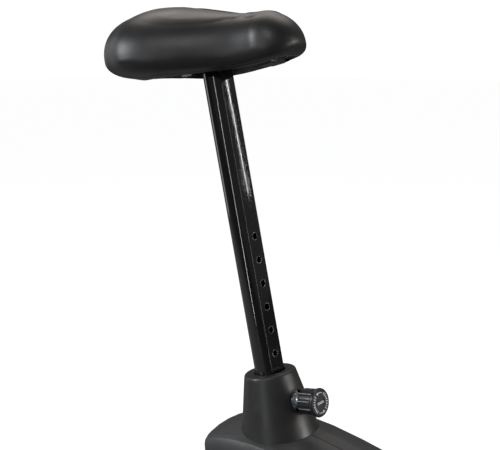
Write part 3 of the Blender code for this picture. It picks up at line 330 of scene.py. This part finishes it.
# ---- Mast, handlebar and grips ------------------------------------------------------------------
# The mast stands in the fork's socket. The bar turns in the clamp at its head, held by a T knob, and
# carries foam grips.
foam, shader = finish_of("black_foam", 0.92)
tinted(foam, cells(foam, 700.0), (0.010, 0.010, 0.010), (0.030, 0.030, 0.030), 0.1, 0.6)
embossed(foam, cells(foam, 800.0), 0.0003, 0.6)
dressed("mast", gloss_paint, 0.0006)
dressed("handlebar", gloss_paint, 0.0004)
dressed("grip_left", foam, 0.0010)
dressed("grip_right", foam, 0.0010)
dressed("clamp_knob", hard_plastic, 0.0006)

# ---- Console ------------------------------------------------------------------------------------
# A moulded case tilted to the rider, screwed to the head of the mast. It holds a dark display behind
# a gloss window, with a row of soft grey keys below it.
display, shader = finish_of("display_window", 0.06, coat=0.6)
tinted(display, grain(display, 12.0), (0.006, 0.010, 0.010), (0.012, 0.020, 0.019))
key_plastic, shader = finish_of("grey_key_plastic", 0.5)
tinted(key_plastic, grain(key_plastic, 60.0), (0.24, 0.25, 0.26), (0.30, 0.31, 0.32))
embossed(key_plastic, grain(key_plastic, 1200.0), 0.00004, 0.4)
dressed("console_housing", satin_plastic, 0.0006)
dressed("console_window", display, 0.0004)
for number in (1, 2, 3):
    dressed(f"console_key_{number}", key_plastic, 0.0008)

# ---- Housing halves -----------------------------------------------------------------------------
# Two thin moulded shells meet in a seam along the middle and hide the whole drive. The plastic has a
# fine satin texture, and the open seam between the halves shows as a thin dark line.
textured, shader = finish_of("textured_black_plastic", 0.46)
tinted(textured, grain(textured, 10.0), (0.036, 0.036, 0.037), (0.047, 0.047, 0.047))
tree = textured.node_tree
place = tree.nodes.new("ShaderNodeTexCoord")
split = tree.nodes.new("ShaderNodeSeparateXYZ")
offset = tree.nodes.new("ShaderNodeMath")
offset.operation = "ABSOLUTE"
open_seam = tree.nodes.new("ShaderNodeMapRange")
open_seam.inputs["From Min"].default_value = 0.0006
open_seam.inputs["From Max"].default_value = 0.0011
shaded = tree.nodes.new("ShaderNodeMix")
shaded.data_type = "RGBA"
shaded.inputs["A"].default_value = (0.004, 0.004, 0.004, 1.0)
tree.links.new(place.outputs["Object"], split.inputs["Vector"])
tree.links.new(split.outputs["Y"], offset.inputs[0])
tree.links.new(offset.outputs["Value"], open_seam.inputs["Value"])
tree.links.new(open_seam.outputs["Result"], shaded.inputs["Factor"])
tree.links.new(shader.inputs["Base Color"].links[0].from_socket, shaded.inputs["B"])
tree.links.new(shaded.outputs["Result"], shader.inputs["Base Color"])
roughened(textured, grain(textured, 40.0), 0.40, 0.52)
embossed(textured, cells(textured, 1300.0), 0.00010, 0.35)
for node in ("housing_left", "housing_right"):
    dressed(node, textured, 0.0012, 24.0)

# ---- Seat collar --------------------------------------------------------------------------------
# A conical plastic cover over the top of the seat tube. It has a rounded rim close round the post and
# a round window that the lock's barrel comes out of.
SEAT_LEAN = math.radians(13.15)
LOCK_HEIGHT = 0.0377
seat_place = Matrix.Translation((-0.16, 0.0, 0.47)) @ Matrix.Rotation(-SEAT_LEAN, 4, "Y")
lock_place = seat_place @ Matrix.Translation((0.0, 0.0, LOCK_HEIGHT)) @ Matrix.Rotation(math.radians(90), 4, "Y")


def spun(profile, steps, place):
    """A bmesh turned from a profile of (radius, height) points that starts and ends on the axis or closes."""
    form = bmesh.new()
    points = [form.verts.new((radius, 0.0, height)) for radius, height in profile]
    edges = [form.edges.new(pair) for pair in zip(points, points[1:])]
    if profile[0][0] > 0.0:
        edges.append(form.edges.new((points[-1], points[0])))
    bmesh.ops.spin(
        form, geom=points + edges, cent=(0, 0, 0), axis=(0, 0, 1), angle=math.radians(360), steps=steps,
        use_merge=True,
    )
    bmesh.ops.remove_doubles(form, verts=form.verts, dist=0.000002)
    bmesh.ops.recalc_face_normals(form, faces=form.faces)
    bmesh.ops.transform(form, matrix=place, verts=form.verts)
    return form


def softened(profile, radius, steps=5):
    """The same profile with each corner that has a third value turned into an arc of that many radii."""
    result = []
    for index, point in enumerate(profile):
        here = Vector(point[:2])
        if len(point) < 3:
            result.append(tuple(here))
            continue
        before, after = Vector(profile[index - 1][:2]), Vector(profile[(index + 1) % len(profile)][:2])
        first = here + (before - here).normalized() * min(radius * point[2], (before - here).length * 0.45)
        last = here + (after - here).normalized() * min(radius * point[2], (after - here).length * 0.45)
        for step in range(steps + 1):
            t = step / steps
            result.append(tuple(first * (1 - t) ** 2 + here * 2 * t * (1 - t) + last * t**2))
    return result


def placed(name, form, *finishes):
    """Makes a smooth object of a bmesh."""
    mesh = bpy.data.meshes.new(name)
    form.to_mesh(mesh)
    form.free()
    for finish in finishes:
        mesh.materials.append(finish)
    mesh.shade_smooth()
    piece = bpy.data.objects.new(name, mesh)
    bpy.context.scene.collection.objects.link(piece)
    return piece


def cut_by(piece, form):
    """Cuts a bmesh's shape out of a piece for good."""
    tool = placed("cutting_tool", form, piece.data.materials[0])
    step = piece.modifiers.new("cut", "BOOLEAN")
    step.operation = "DIFFERENCE"
    step.solver = "EXACT"
    step.object = tool
    bpy.context.view_layer.update()
    settled = bpy.data.meshes.new_from_object(piece.evaluated_get(bpy.context.evaluated_depsgraph_get()))
    piece.modifiers.remove(step)
    piece.data = settled
    bpy.data.objects.remove(tool)


def edged(piece, width, angle=30.0, segments=2):
    """Breaks the sharp edges of a piece and shades it by angle."""
    piece.data.shade_smooth()
    piece.data.set_sharp_from_angle(angle=math.radians(angle))
    broken = piece.modifiers.new("broken_edges", "BEVEL")
    broken.width = width
    broken.segments = segments
    broken.limit_method = "ANGLE"
    broken.angle_limit = math.radians(angle)


def rod(radius, low, high, place, segments=64, top=None):
    """A bmesh cylinder or cone between two heights on a placed axis."""
    form = bmesh.new()
    bmesh.ops.create_cone(
        form, cap_ends=True, segments=segments, radius1=radius, radius2=radius if top is None else top,
        depth=high - low, matrix=place @ Matrix.Translation((0, 0, (low + high) / 2)),
    )
    return form


COLLAR_TOP, COLLAR_TOP_RADIUS, COLLAR_FOOT_RADIUS = 0.0752, 0.0330, 0.0492
COLLAR_SKIRT, COLLAR_WALL, COLLAR_LID, COLLAR_EYE = -0.0120, 0.0025, 0.0035, 0.01985
COLLAR_RING = 0.0035  # the cone is turned in short rings of this height
WINDOW, KNOB_ROOM = 0.0134, 0.0168  # the window's radius, and the radius of the recess that the knob sinks into
cone_slope = (COLLAR_TOP_RADIUS - COLLAR_FOOT_RADIUS) / COLLAR_TOP
skirt_radius = COLLAR_FOOT_RADIUS + cone_slope * COLLAR_SKIRT
collar_profile = softened(
    [
        (COLLAR_TOP_RADIUS - 0.0002, COLLAR_TOP, 1),
        *(
            (COLLAR_TOP_RADIUS - cone_slope * COLLAR_RING * step, COLLAR_TOP - COLLAR_RING * step)
            for step in range(2, 24)
        ),
        (skirt_radius, COLLAR_SKIRT),
        (skirt_radius - COLLAR_WALL, COLLAR_SKIRT),
        (COLLAR_TOP_RADIUS - cone_slope * COLLAR_LID - COLLAR_WALL, COLLAR_TOP - COLLAR_LID),
        (COLLAR_EYE, COLLAR_TOP - COLLAR_LID), (COLLAR_EYE, COLLAR_TOP - 0.0006, 0.25),
    ],
    0.0042,
)
collar_plastic, shader = finish_of("collar_plastic", 0.40)
tinted(collar_plastic, grain(collar_plastic, 12.0), (0.014, 0.014, 0.014), (0.021, 0.021, 0.020))
roughened(collar_plastic, grain(collar_plastic, 55.0), 0.34, 0.46)
embossed(collar_plastic, grain(collar_plastic, 1100.0), 0.00006, 0.30)
collar = placed("seat_collar_cover", spun(collar_profile, 128, seat_place), collar_plastic)
cut_by(collar, rod(WINDOW, 0.020, 0.060, lock_place))
cut_by(collar, rod(WINDOW, 0.0414, 0.0440, lock_place, top=KNOB_ROOM))
cut_by(collar, rod(KNOB_ROOM, 0.0439, 0.060, lock_place))
edged(collar, 0.0005, 32.0)
settle(collar, "frame", "black_satin_plastic", "seat_collar")

# ---- Seat post ----------------------------------------------------------------------------------
# A steel tube, round at the back with one flat in front, drilled with a row of holes for the lock pin
# and sprayed gloss black. The paint is rubbed to bare steel round the holes and in fine scratches.
POST_RADIUS, POST_FLAT, POST_WALL, POST_TOP, POST_FOOT = 0.01875, 0.0146, 0.002, 0.466, -0.085
HOLE_RADIUS, HOLE_TOP, HOLE_PITCH, HOLE_COUNT = 0.0041, 0.2484, 0.0301, 10


def d_bar(radius, flat, low, high, arris_width):
    """A bmesh bar with one flat facing the front, standing where the post stands."""
    form = rod(radius, low, high, Matrix.Identity(4), 64)
    cut = bmesh.ops.bisect_plane(
        form, geom=form.verts[:] + form.edges[:] + form.faces[:], plane_co=(flat, 0, 0), plane_no=(1, 0, 0),
        clear_outer=True,
    )
    rim = [part for part in cut["geom_cut"] if isinstance(part, bmesh.types.BMEdge)]
    bmesh.ops.contextual_create(form, geom=rim)
    arris = [
        edge for edge in form.edges
        if all(abs(corner.co.x - flat) < 0.00001 for corner in edge.verts)
        and abs(edge.verts[0].co.z - edge.verts[1].co.z) > 0.1
    ]
    if arris_width:
        bmesh.ops.bevel(
            form, geom=arris, offset=arris_width, offset_type="OFFSET", segments=4, profile=0.5,
            affect="EDGES", material=-1, clamp_overlap=True,
        )
    bmesh.ops.recalc_face_normals(form, faces=form.faces)
    bmesh.ops.transform(form, matrix=seat_place, verts=form.verts)
    return form


post_paint, shader = finish_of("post_paint", 0.10, coat=0.5)
shader.inputs["Coat Roughness"].default_value = 0.05
tree = post_paint.node_tree
links = tree.links
place = tree.nodes.new("ShaderNodeTexCoord")
turned = tree.nodes.new("ShaderNodeMapping")
turned.vector_type = "TEXTURE"
turned.inputs["Location"].default_value = (-0.16, 0.0, 0.47)
turned.inputs["Rotation"].default_value = (0.0, -SEAT_LEAN, 0.0)
links.new(place.outputs["Object"], turned.inputs["Vector"])
split = tree.nodes.new("ShaderNodeSeparateXYZ")
links.new(turned.outputs["Vector"], split.inputs["Vector"])


def reckoned(tree, operation, first, second=None):
    """One step of arithmetic on a pattern, with a number or another pattern."""
    node = tree.nodes.new("ShaderNodeMath")
    node.operation = operation
    tree.links.new(first, node.inputs[0])
    if isinstance(second, (int, float)):
        node.inputs[1].default_value = second
    elif second is not None:
        tree.links.new(second, node.inputs[1])
    return node.outputs["Value"]


def stretched_noise(tree, vector, scale, stretch, detail=4.0):
    """Noise drawn out along one axis of a placed pattern."""
    mapping = tree.nodes.new("ShaderNodeMapping")
    mapping.inputs["Scale"].default_value = stretch
    noise = tree.nodes.new("ShaderNodeTexNoise")
    noise.inputs["Scale"].default_value = scale
    noise.inputs["Detail"].default_value = detail
    tree.links.new(vector, mapping.inputs["Vector"])
    tree.links.new(mapping.outputs["Vector"], noise.inputs["Vector"])
    return noise.outputs["Fac"]


def above(tree, value, low, high):
    """0 below low, 1 above high."""
    ranged = tree.nodes.new("ShaderNodeMapRange")
    ranged.interpolation_type = "SMOOTHSTEP"
    ranged.inputs["From Min"].default_value = low
    ranged.inputs["From Max"].default_value = high
    tree.links.new(value, ranged.inputs["Value"])
    return ranged.outputs["Result"]


# distance from the nearest hole's rim, measured on the flat
along = reckoned(tree, "SUBTRACT", split.outputs["Z"], HOLE_TOP - HOLE_PITCH * (HOLE_COUNT - 0.5))
nearest = reckoned(tree, "SUBTRACT", reckoned(tree, "PINGPONG", along, HOLE_PITCH / 2), HOLE_PITCH / 2)
across = reckoned(tree, "MULTIPLY", split.outputs["Y"], split.outputs["Y"])
reach = reckoned(tree, "SQRT", reckoned(tree, "ADD", reckoned(tree, "MULTIPLY", nearest, nearest), across))
in_front = above(tree, split.outputs["X"], 0.0135, 0.0143)
near_rim = reckoned(tree, "SUBTRACT", reach, HOLE_RADIUS)
chips = stretched_noise(tree, turned.outputs["Vector"], 900.0, (1.0, 1.0, 0.6), 5.0)
by_rim = above(tree, reckoned(tree, "MULTIPLY", near_rim, -1.0), -0.0016, -0.0002)
rim_wear = reckoned(tree, "MULTIPLY", reckoned(tree, "MULTIPLY", by_rim, above(tree, chips, 0.52, 0.60)), in_front)
scratches = above(tree, stretched_noise(tree, turned.outputs["Vector"], 520.0, (1.0, 1.0, 0.035), 2.0), 0.69, 0.74)
rubbed = above(tree, stretched_noise(tree, turned.outputs["Vector"], 24.0, (1.0, 1.0, 0.5), 3.0), 0.50, 0.66)
down = reckoned(tree, "MULTIPLY", split.outputs["Z"], -1.0)
low_part = above(tree, down, -0.27, -0.05)
scuffs = reckoned(tree, "MULTIPLY", scratches, rubbed)
scuffs = reckoned(tree, "MULTIPLY", scuffs, reckoned(tree, "MULTIPLY", low_part, in_front))
drilled = above(tree, down, -HOLE_TOP - 0.0140, -HOLE_TOP - 0.0080)
rim_wear = reckoned(tree, "MULTIPLY", rim_wear, drilled)
worn = reckoned(tree, "MAXIMUM", rim_wear, reckoned(tree, "MULTIPLY", scuffs, 0.7))
base = tree.nodes.new("ShaderNodeMix")
base.data_type = "RGBA"
base.inputs["A"].default_value = (0.0065, 0.0065, 0.0068, 1.0)
base.inputs["B"].default_value = (0.42, 0.42, 0.43, 1.0)
links.new(worn, base.inputs["Factor"])
links.new(base.outputs["Result"], shader.inputs["Base Color"])
gloss = spread(post_paint, grain(post_paint, 34.0), 0.04, 0.12)
dulled = reckoned(tree, "ADD", reckoned(tree, "MULTIPLY", worn, 0.3), gloss)
links.new(dulled, shader.inputs["Roughness"])
drawn = stretched_noise(tree, turned.outputs["Vector"], 260.0, (1.0, 1.0, 0.012), 2.0)
peel = grain(post_paint, 330.0, 2.0)
embossed(post_paint, reckoned(tree, "ADD", reckoned(tree, "MULTIPLY", drawn, 1.6), peel), 0.00004, 0.5)

post = placed("post_tube", d_bar(POST_RADIUS, POST_FLAT, POST_FOOT, POST_TOP, 0.0014), post_paint)
cut_by(post, d_bar(POST_RADIUS - POST_WALL, POST_FLAT - POST_WALL, POST_FOOT - 0.01, POST_TOP - 0.006, 0.0))
for index in range(HOLE_COUNT):
    hole = seat_place @ Matrix.Translation((0.018, 0, HOLE_TOP - index * HOLE_PITCH))
    cut_by(post, rod(HOLE_RADIUS, -0.010, 0.010, hole @ Matrix.Rotation(math.radians(90), 4, "Y"), 32))
edged(post, 0.00035, 40.0)
settle(post, "saddle_and_post", "black_gloss_paint", "seat_post")

form = bmesh.new()
corners = [(-0.042, 0.020), (-0.026, 0.040), (0.020, 0.024), (0.046, 0.012)]
corners += [(x, -y) for x, y in reversed(corners)]
flange = form.faces.new([form.verts.new((x, y, POST_TOP)) for x, y in corners])
lifted = bmesh.ops.extrude_face_region(form, geom=[flange])
bmesh.ops.translate(
    form, vec=(0, 0, 0.003), verts=[part for part in lifted["geom"] if isinstance(part, bmesh.types.BMVert)]
)
bmesh.ops.recalc_face_normals(form, faces=form.faces)
bmesh.ops.transform(form, matrix=seat_place, verts=form.verts)
plate = placed("saddle_plate", form, gloss_paint)
edged(plate, 0.0006)
settle(plate, "saddle_and_post", "black_gloss_paint", "seat_post")

# ---- Lock barrel and pin ------------------------------------------------------------------------
# A turned steel barrel, zinc plated, screws into the seat tube's boss. It guides the pin, which a coil
# spring inside it pushes towards the post.
barrel_profile = softened(
    [
        (0.0076, 0.0500, 0.5), (0.0024, 0.0500), (0.0024, 0.0455), (0.0046, 0.0455), (0.0046, 0.0205),
        (0.0076, 0.0205), (0.0076, 0.0331), (0.0090, 0.0334, 1), (0.0090, 0.0358, 1), (0.0076, 0.0362),
    ],
    0.0006, 3,
)
barrel = placed("barrel", spun(barrel_profile, 64, lock_place), zinc)
edged(barrel, 0.0002, 40.0)
settle(barrel, "lock_barrel", "zinc_steel", "lock_barrel")
dressed("lock_spring", machined, 0.0)
dressed("lock_pin", zinc, 0.0003)

# ---- Lock knob ----------------------------------------------------------------------------------
# A moulded grip, turned to a lipped face and cut with twelve flutes. The face carries raised silver
# marks: a ring of ticks, two arrow heads and a row of short bars across the middle.
KNOB_FACE, DISC_RADIUS, GRIP_RADIUS, FLUTES = 0.0742, 0.0177, 0.0165, 12
knob_plastic, shader = finish_of("knob_plastic", 0.30, coat=0.10)
shader.inputs["Coat Roughness"].default_value = 0.12
tinted(knob_plastic, grain(knob_plastic, 40.0), (0.010, 0.010, 0.012), (0.018, 0.018, 0.021))
roughened(knob_plastic, grain(knob_plastic, 120.0), 0.26, 0.38)
embossed(knob_plastic, grain(knob_plastic, 1300.0), 0.00003, 0.4)
knob_profile = [(0.0, KNOB_FACE - 0.0004)] + softened(
    [
        (0.0150, KNOB_FACE - 0.0004, 0.4), (0.0155, KNOB_FACE, 0.6), (0.0166, KNOB_FACE, 1),
        (DISC_RADIUS, KNOB_FACE - 0.0016, 1), (DISC_RADIUS, 0.0706, 1), (GRIP_RADIUS, 0.0694, 0.6),
        (GRIP_RADIUS, 0.0680, 0.6), (0.0164, 0.0520), (0.0160, 0.0496, 1.5),
        (0.0132, 0.0478, 0.8), (0.0080, 0.0478, 0.4), (0.0080, 0.0560), (0.0020, 0.0560), (0.0020, 0.0660),
    ],
    0.0009, 4,
) + [(0.0, 0.0660)]
knob = placed("fluted_knob", spun(knob_profile, 144, lock_place), knob_plastic)
for index in range(FLUTES):
    turn = Matrix.Rotation(math.radians(360 / FLUTES * index + 8), 4, "Z")
    cut_by(knob, rod(0.0031, 0.0470, 0.0686, lock_place @ turn @ Matrix.Translation((0.0183, 0, 0)), 20))
edged(knob, 0.00045, 32.0, 3)
settle(knob, "lock_knob", "black_hard_plastic", "lock_knob")

silver, shader = finish_of("silver_print", 0.35)
tinted(silver, grain(silver, 500.0), (0.62, 0.64, 0.68), (0.80, 0.82, 0.86))
form = bmesh.new()
face_place = lock_place @ Matrix.Translation((0, 0, KNOB_FACE - 0.0004)) @ Matrix.Rotation(math.pi, 4, "Z")
MARK_RING = 0.01235  # the radius that the ring of marks stands on


def stamped(form, centre, size, angle, height=0.0002):
    """A thin raised bar on the knob's face."""
    made = bmesh.ops.create_cube(form, size=1.0)["verts"]
    bmesh.ops.scale(form, vec=(size[0], size[1], height), verts=made)
    bmesh.ops.translate(form, vec=(centre[0], centre[1], height / 2), verts=made)
    bmesh.ops.rotate(form, cent=(0, 0, 0), matrix=Matrix.Rotation(angle, 3, "Z"), verts=made)


for start in (0, 180):
    for step in range(8):
        angle = math.radians(start + 42 + 13.5 * step)
        stamped(form, (MARK_RING, 0.0), (0.0030 if step % 3 else 0.0036, 0.0012), angle)
    for step in range(9):
        stamped(form, (MARK_RING, 0.0), (0.0009, 0.00115), math.radians(start - 24 + 4.6 * step))
    bmesh.ops.create_cone(
        form, cap_ends=True, segments=3, radius1=0.0022, radius2=0.0022, depth=0.0002,
        matrix=Matrix.Rotation(math.radians(start + 17), 4, "Z") @ Matrix.Translation((MARK_RING, 0.0, 0.0001))
        @ Matrix.Rotation(math.radians(90), 4, "Z"),
    )
for shift in (-0.0050, -0.0030, -0.0010, 0.0010, 0.0030, 0.0050):
    stamped(form, (0.0, shift), (0.0030, 0.0011), 0.0)
bmesh.ops.transform(form, matrix=face_place, verts=form.verts)
bmesh.ops.recalc_face_normals(form, faces=form.faces)
marks = placed("knob_marks", form, silver)
marks.data.shade_flat()
settle(marks, "lock_knob", "zinc_steel")

# ---- Saddle base --------------------------------------------------------------------------------
# A moulded plate in the cushion's underside, held down to the post's plate by three nuts. Its nose is
# shortened to stay inside the skin, ribbed underneath, and carries a small tab.
BASE_UNDER = (
    (-0.105, 0.4820), (-0.090, 0.4770), (-0.070, 0.4725), (-0.045, 0.4693), (0.050, 0.4693),
    (0.068, 0.4600), (0.084, 0.4535), (0.128, 0.4540),
)
plate = dressed("saddle_base", hard_plastic, 0.0006)
form = bmesh.new()
bmesh.ops.create_cube(form, size=0.1, matrix=seat_place @ Matrix.Translation((0.1650, 0.0, 0.46)))
cut_by(plate, form)
edged(plate, 0.0006, 35.0)
form = bmesh.new()
ribs_at = [((0.0995 + 0.0030 * index, 0.0, 0.4523), (0.0011, 0.030, 0.0032)) for index in range(6)]
ribs_at += [((0.1068, y, 0.4526), (0.0160, 0.0011, 0.0024)) for y in (-0.0085, 0.0, 0.0085)]
for middle, size in ribs_at:
    made = bmesh.ops.create_cube(form, size=1.0)["verts"]
    bmesh.ops.scale(form, vec=size, verts=made)
    bmesh.ops.translate(form, vec=middle, verts=made)
bmesh.ops.transform(form, matrix=seat_place, verts=form.verts)
ribs = placed("base_ribs", form, hard_plastic)
edged(ribs, 0.0002)
settle(ribs, "saddle_and_post", "black_hard_plastic")
for number in (1, 2, 3):
    dressed(f"saddle_nut_{number}", zinc, 0.0004)

# ---- Saddle cushion -----------------------------------------------------------------------------
# Foam under a smooth soft black skin, stretched over the base and tucked under its edge. It is broad
# and domed at the rear with a pressure groove down the middle, dips, and rises again to a short nose.
SADDLE_REAR, SADDLE_NOSE = -0.121, 0.133
REAR_ROUND, NOSE_ROUND = -0.080, 0.092  # the plan and the crown are rounded off beyond these
SADDLE_WIDTH = (
    (-0.080, 0.1035), (-0.052, 0.107), (-0.024, 0.100), (0.005, 0.083), (0.034, 0.063), (0.063, 0.047),
    (0.092, 0.039),
)
SADDLE_UNDER = (
    (-0.121, 0.490), (-0.100, 0.473), (-0.080, 0.4655), (-0.050, 0.4605), (0.005, 0.4545), (0.060, 0.450),
    (0.100, 0.449), (0.120, 0.452), (0.133, 0.460),
)
SADDLE_CROWN = (
    (-0.080, 0.551), (-0.055, 0.551), (-0.025, 0.5445), (0.005, 0.534), (0.050, 0.518), (0.080, 0.510),
    (0.092, 0.508),
)
REAR_EDGE, NOSE_EDGE = 0.498, 0.465  # where the crown meets the rim at each end
GROOVE_DEPTH = (
    (-0.060, 0.0), (-0.056, 0.004), (-0.050, 0.010), (-0.020, 0.0125), (0.020, 0.0110), (0.045, 0.008),
    (0.062, 0.004), (0.074, 0.0),
)
GROOVE_HALF = 0.0150
OPENING = (
    (-0.090, 0.030), (-0.084, 0.045), (-0.070, 0.056), (-0.045, 0.062), (-0.015, 0.058), (0.020, 0.045),
    (0.050, 0.029), (0.068, 0.0220), (0.084, 0.0190), (0.104, 0.0170), (0.1160, 0.0140),
)


def read(table, x):
    """A smooth reading of a table of (x, value) pairs."""
    if x <= table[0][0]:
        return table[0][1]
    for index, ((x0, v0), (x1, v1)) in enumerate(zip(table, table[1:])):
        if x <= x1:
            xa, va = table[max(index - 1, 0)]
            xb, vb = table[min(index + 2, len(table) - 1)]
            width = x1 - x0
            rise0 = (v1 - va) / (x1 - xa) * width
            rise1 = (vb - v0) / (xb - x0) * width
            t = (x - x0) / width
            return (
                v0 * (2 * t**3 - 3 * t**2 + 1) + rise0 * (t**3 - 2 * t**2 + t)
                + v1 * (3 * t**2 - 2 * t**3) + rise1 * (t**3 - t**2)
            )
    return table[-1][1]


def end_share(x, power):
    """1 along the saddle, falling to 0 at its two ends in a rounded curve."""
    start, end = (REAR_ROUND, SADDLE_REAR) if x < 0 else (NOSE_ROUND, SADDLE_NOSE)
    into = (x - start) / (end - start)
    return (1 - min(max(into, 0.0), 1.0) ** power) ** (1 / power)


def half_width(x):
    """Half the saddle's width at one place along it."""
    return read(SADDLE_WIDTH, x) * end_share(x, 2.0)


def crown(x):
    """The height of the saddle's crown at one place along it."""
    edge = REAR_EDGE if x < 0 else NOSE_EDGE
    return edge + (read(SADDLE_CROWN, x) - edge) * end_share(x, 1.65)


def saddle_form(shrink):
    """A sphere drawn out to the saddle's length, width, underside and crown, a little under size."""
    form = bmesh.new()
    bmesh.ops.create_uvsphere(
        form, u_segments=128, v_segments=96, radius=1.0, matrix=Matrix.Rotation(math.radians(90), 4, "Y")
    )
    first, last = SADDLE_REAR + shrink, SADDLE_NOSE - shrink
    for corner in form.verts:
        x = (first + last) / 2 + (last - first) / 2 * corner.co.x
        reach = math.hypot(corner.co.y, corner.co.z)
        side = corner.co.y / reach if reach > 0.000001 else 0.0
        up = corner.co.z / reach if reach > 0.000001 else 0.0
        half = max(half_width(x) - shrink, 0.0)
        low, high = read(SADDLE_UNDER, x) + shrink, crown(x) - shrink
        shoulder = low + 0.27 * (high - low)
        if reach <= 0.000001:
            corner.co = (x, 0.0, shoulder)
        elif up >= 0:
            corner.co = (x, half * side, shoulder + (high - shoulder) * (1 - abs(side) ** 2.27) ** 0.44)
        else:
            corner.co = (x, half * side, shoulder - (shoulder - low) * (1 - abs(side) ** 5.0) ** 0.5)
    bmesh.ops.recalc_face_normals(form, faces=form.faces)
    return form


def applied(piece):
    """Makes a piece's modifiers part of its mesh."""
    bpy.context.view_layer.update()
    settled = bpy.data.meshes.new_from_object(piece.evaluated_get(bpy.context.evaluated_depsgraph_get()))
    piece.modifiers.clear()
    piece.data = settled


skin, shader = finish_of("saddle_skin", 0.42)
shader.inputs["Sheen Weight"].default_value = 0.02
shader.inputs["Sheen Roughness"].default_value = 0.5
tinted(skin, grain(skin, 16.0), (0.0070, 0.0068, 0.0070), (0.0105, 0.0100, 0.0098))
roughened(skin, grain(skin, 26.0), 0.37, 0.47)
embossed(skin, cells(skin, 1000.0), 0.00012, 0.22)

SHRINK, SWELL_CAP = 0.0014, 0.0030
SKIN_PLAY = 0.0005  # the stuffed skin is drawn back to within this of the outline above
cushion = placed("cushion", saddle_form(SHRINK), skin)
remade = cushion.modifiers.new("even_mesh", "REMESH")
remade.mode = "VOXEL"
remade.voxel_size = 0.0042
applied(cushion)
start = [corner.co.copy() for corner in cushion.data.vertices]
stuffing = cushion.modifiers.new("stuffing", "CLOTH")
stuffing.settings.use_pressure = True
stuffing.settings.uniform_pressure_force = 4.0
stuffing.settings.effector_weights.gravity = 0.0
stuffing.settings.quality = 5
stuffing.point_cache.frame_start = 1
stuffing.point_cache.frame_end = 20
for frame_number in range(1, 21):
    bpy.context.scene.frame_set(frame_number)
bpy.context.view_layer.update()
swollen = cushion.evaluated_get(bpy.context.evaluated_depsgraph_get()).data
moved = [after.co - before for after, before in zip(swollen.vertices, start)]
cushion.modifiers.clear()
for corner, before, step in zip(cushion.data.vertices, start, moved):
    corner.co = before + step * min(1.0, SWELL_CAP / max(step.length, 0.000001))
bpy.context.scene.frame_set(1)


def relaxed(form, times):
    """Evens out a bmesh's surface."""
    for turn in range(times):
        bmesh.ops.smooth_vert(
            form, verts=form.verts, factor=0.5, use_axis_x=True, use_axis_y=True, use_axis_z=True
        )


form = bmesh.new()
form.from_mesh(cushion.data)
relaxed(form, 3)
bmesh.ops.subdivide_edges(form, edges=form.edges[:], cuts=1, use_grid_fill=True, smooth=0.6)
relaxed(form, 2)
pattern = saddle_form(0.0)
surface = BVHTree.FromBMesh(pattern)
for corner in form.verts:
    spot, facing, face_number, gap = surface.find_nearest(corner.co)
    corner.co = spot + (corner.co - spot) * min(1.0, SKIN_PLAY / max(gap, 0.000001))
pattern.free()


def along_groove(corner):
    """Whether a point lies on the top of the cushion near its groove."""
    x, y, z = corner.co
    return -0.068 < x < 0.082 and abs(y) < 0.022 and z > (read(SADDLE_UNDER, x) + crown(x)) / 2


fine = [edge for edge in form.edges if along_groove(edge.verts[0]) and along_groove(edge.verts[1])]
bmesh.ops.subdivide_edges(form, edges=fine, cuts=2, use_grid_fill=True)
for corner in form.verts:
    x, y, z = corner.co
    if along_groove(corner):
        across = min(abs(y) / GROOVE_HALF, 1.0)
        wall = min(max((1.0 - across) / 0.20, 0.0), 1.0)
        corner.co.z -= read(GROOVE_DEPTH, min(max(x, -0.060), 0.074)) * wall * wall * (3 - 2 * wall)
bmesh.ops.transform(form, matrix=seat_place, verts=form.verts)
form.to_mesh(cushion.data)
form.free()

form = bmesh.new()
bmesh.ops.create_grid(form, x_segments=46, y_segments=1, size=0.5)
sheet = form.faces[:]
for corner in form.verts:
    x = OPENING[0][0] + (OPENING[-1][0] - OPENING[0][0]) * (corner.co.x + 0.5)
    corner.co = (x, 2 * read(OPENING, x) * corner.co.y, read(BASE_UNDER, x) + 0.0044)
dropped = bmesh.ops.extrude_face_region(form, geom=sheet)
for part in dropped["geom"]:
    if isinstance(part, bmesh.types.BMVert):
        part.co.z = 0.42
bmesh.ops.recalc_face_normals(form, faces=form.faces)
bmesh.ops.transform(form, matrix=seat_place, verts=form.verts)
cut_by(cushion, form)
cushion.data.shade_smooth()
cushion.data.set_sharp_from_angle(angle=math.radians(60))
settle(cushion, "saddle_and_post", "saddle_skin", "saddle_cushion")
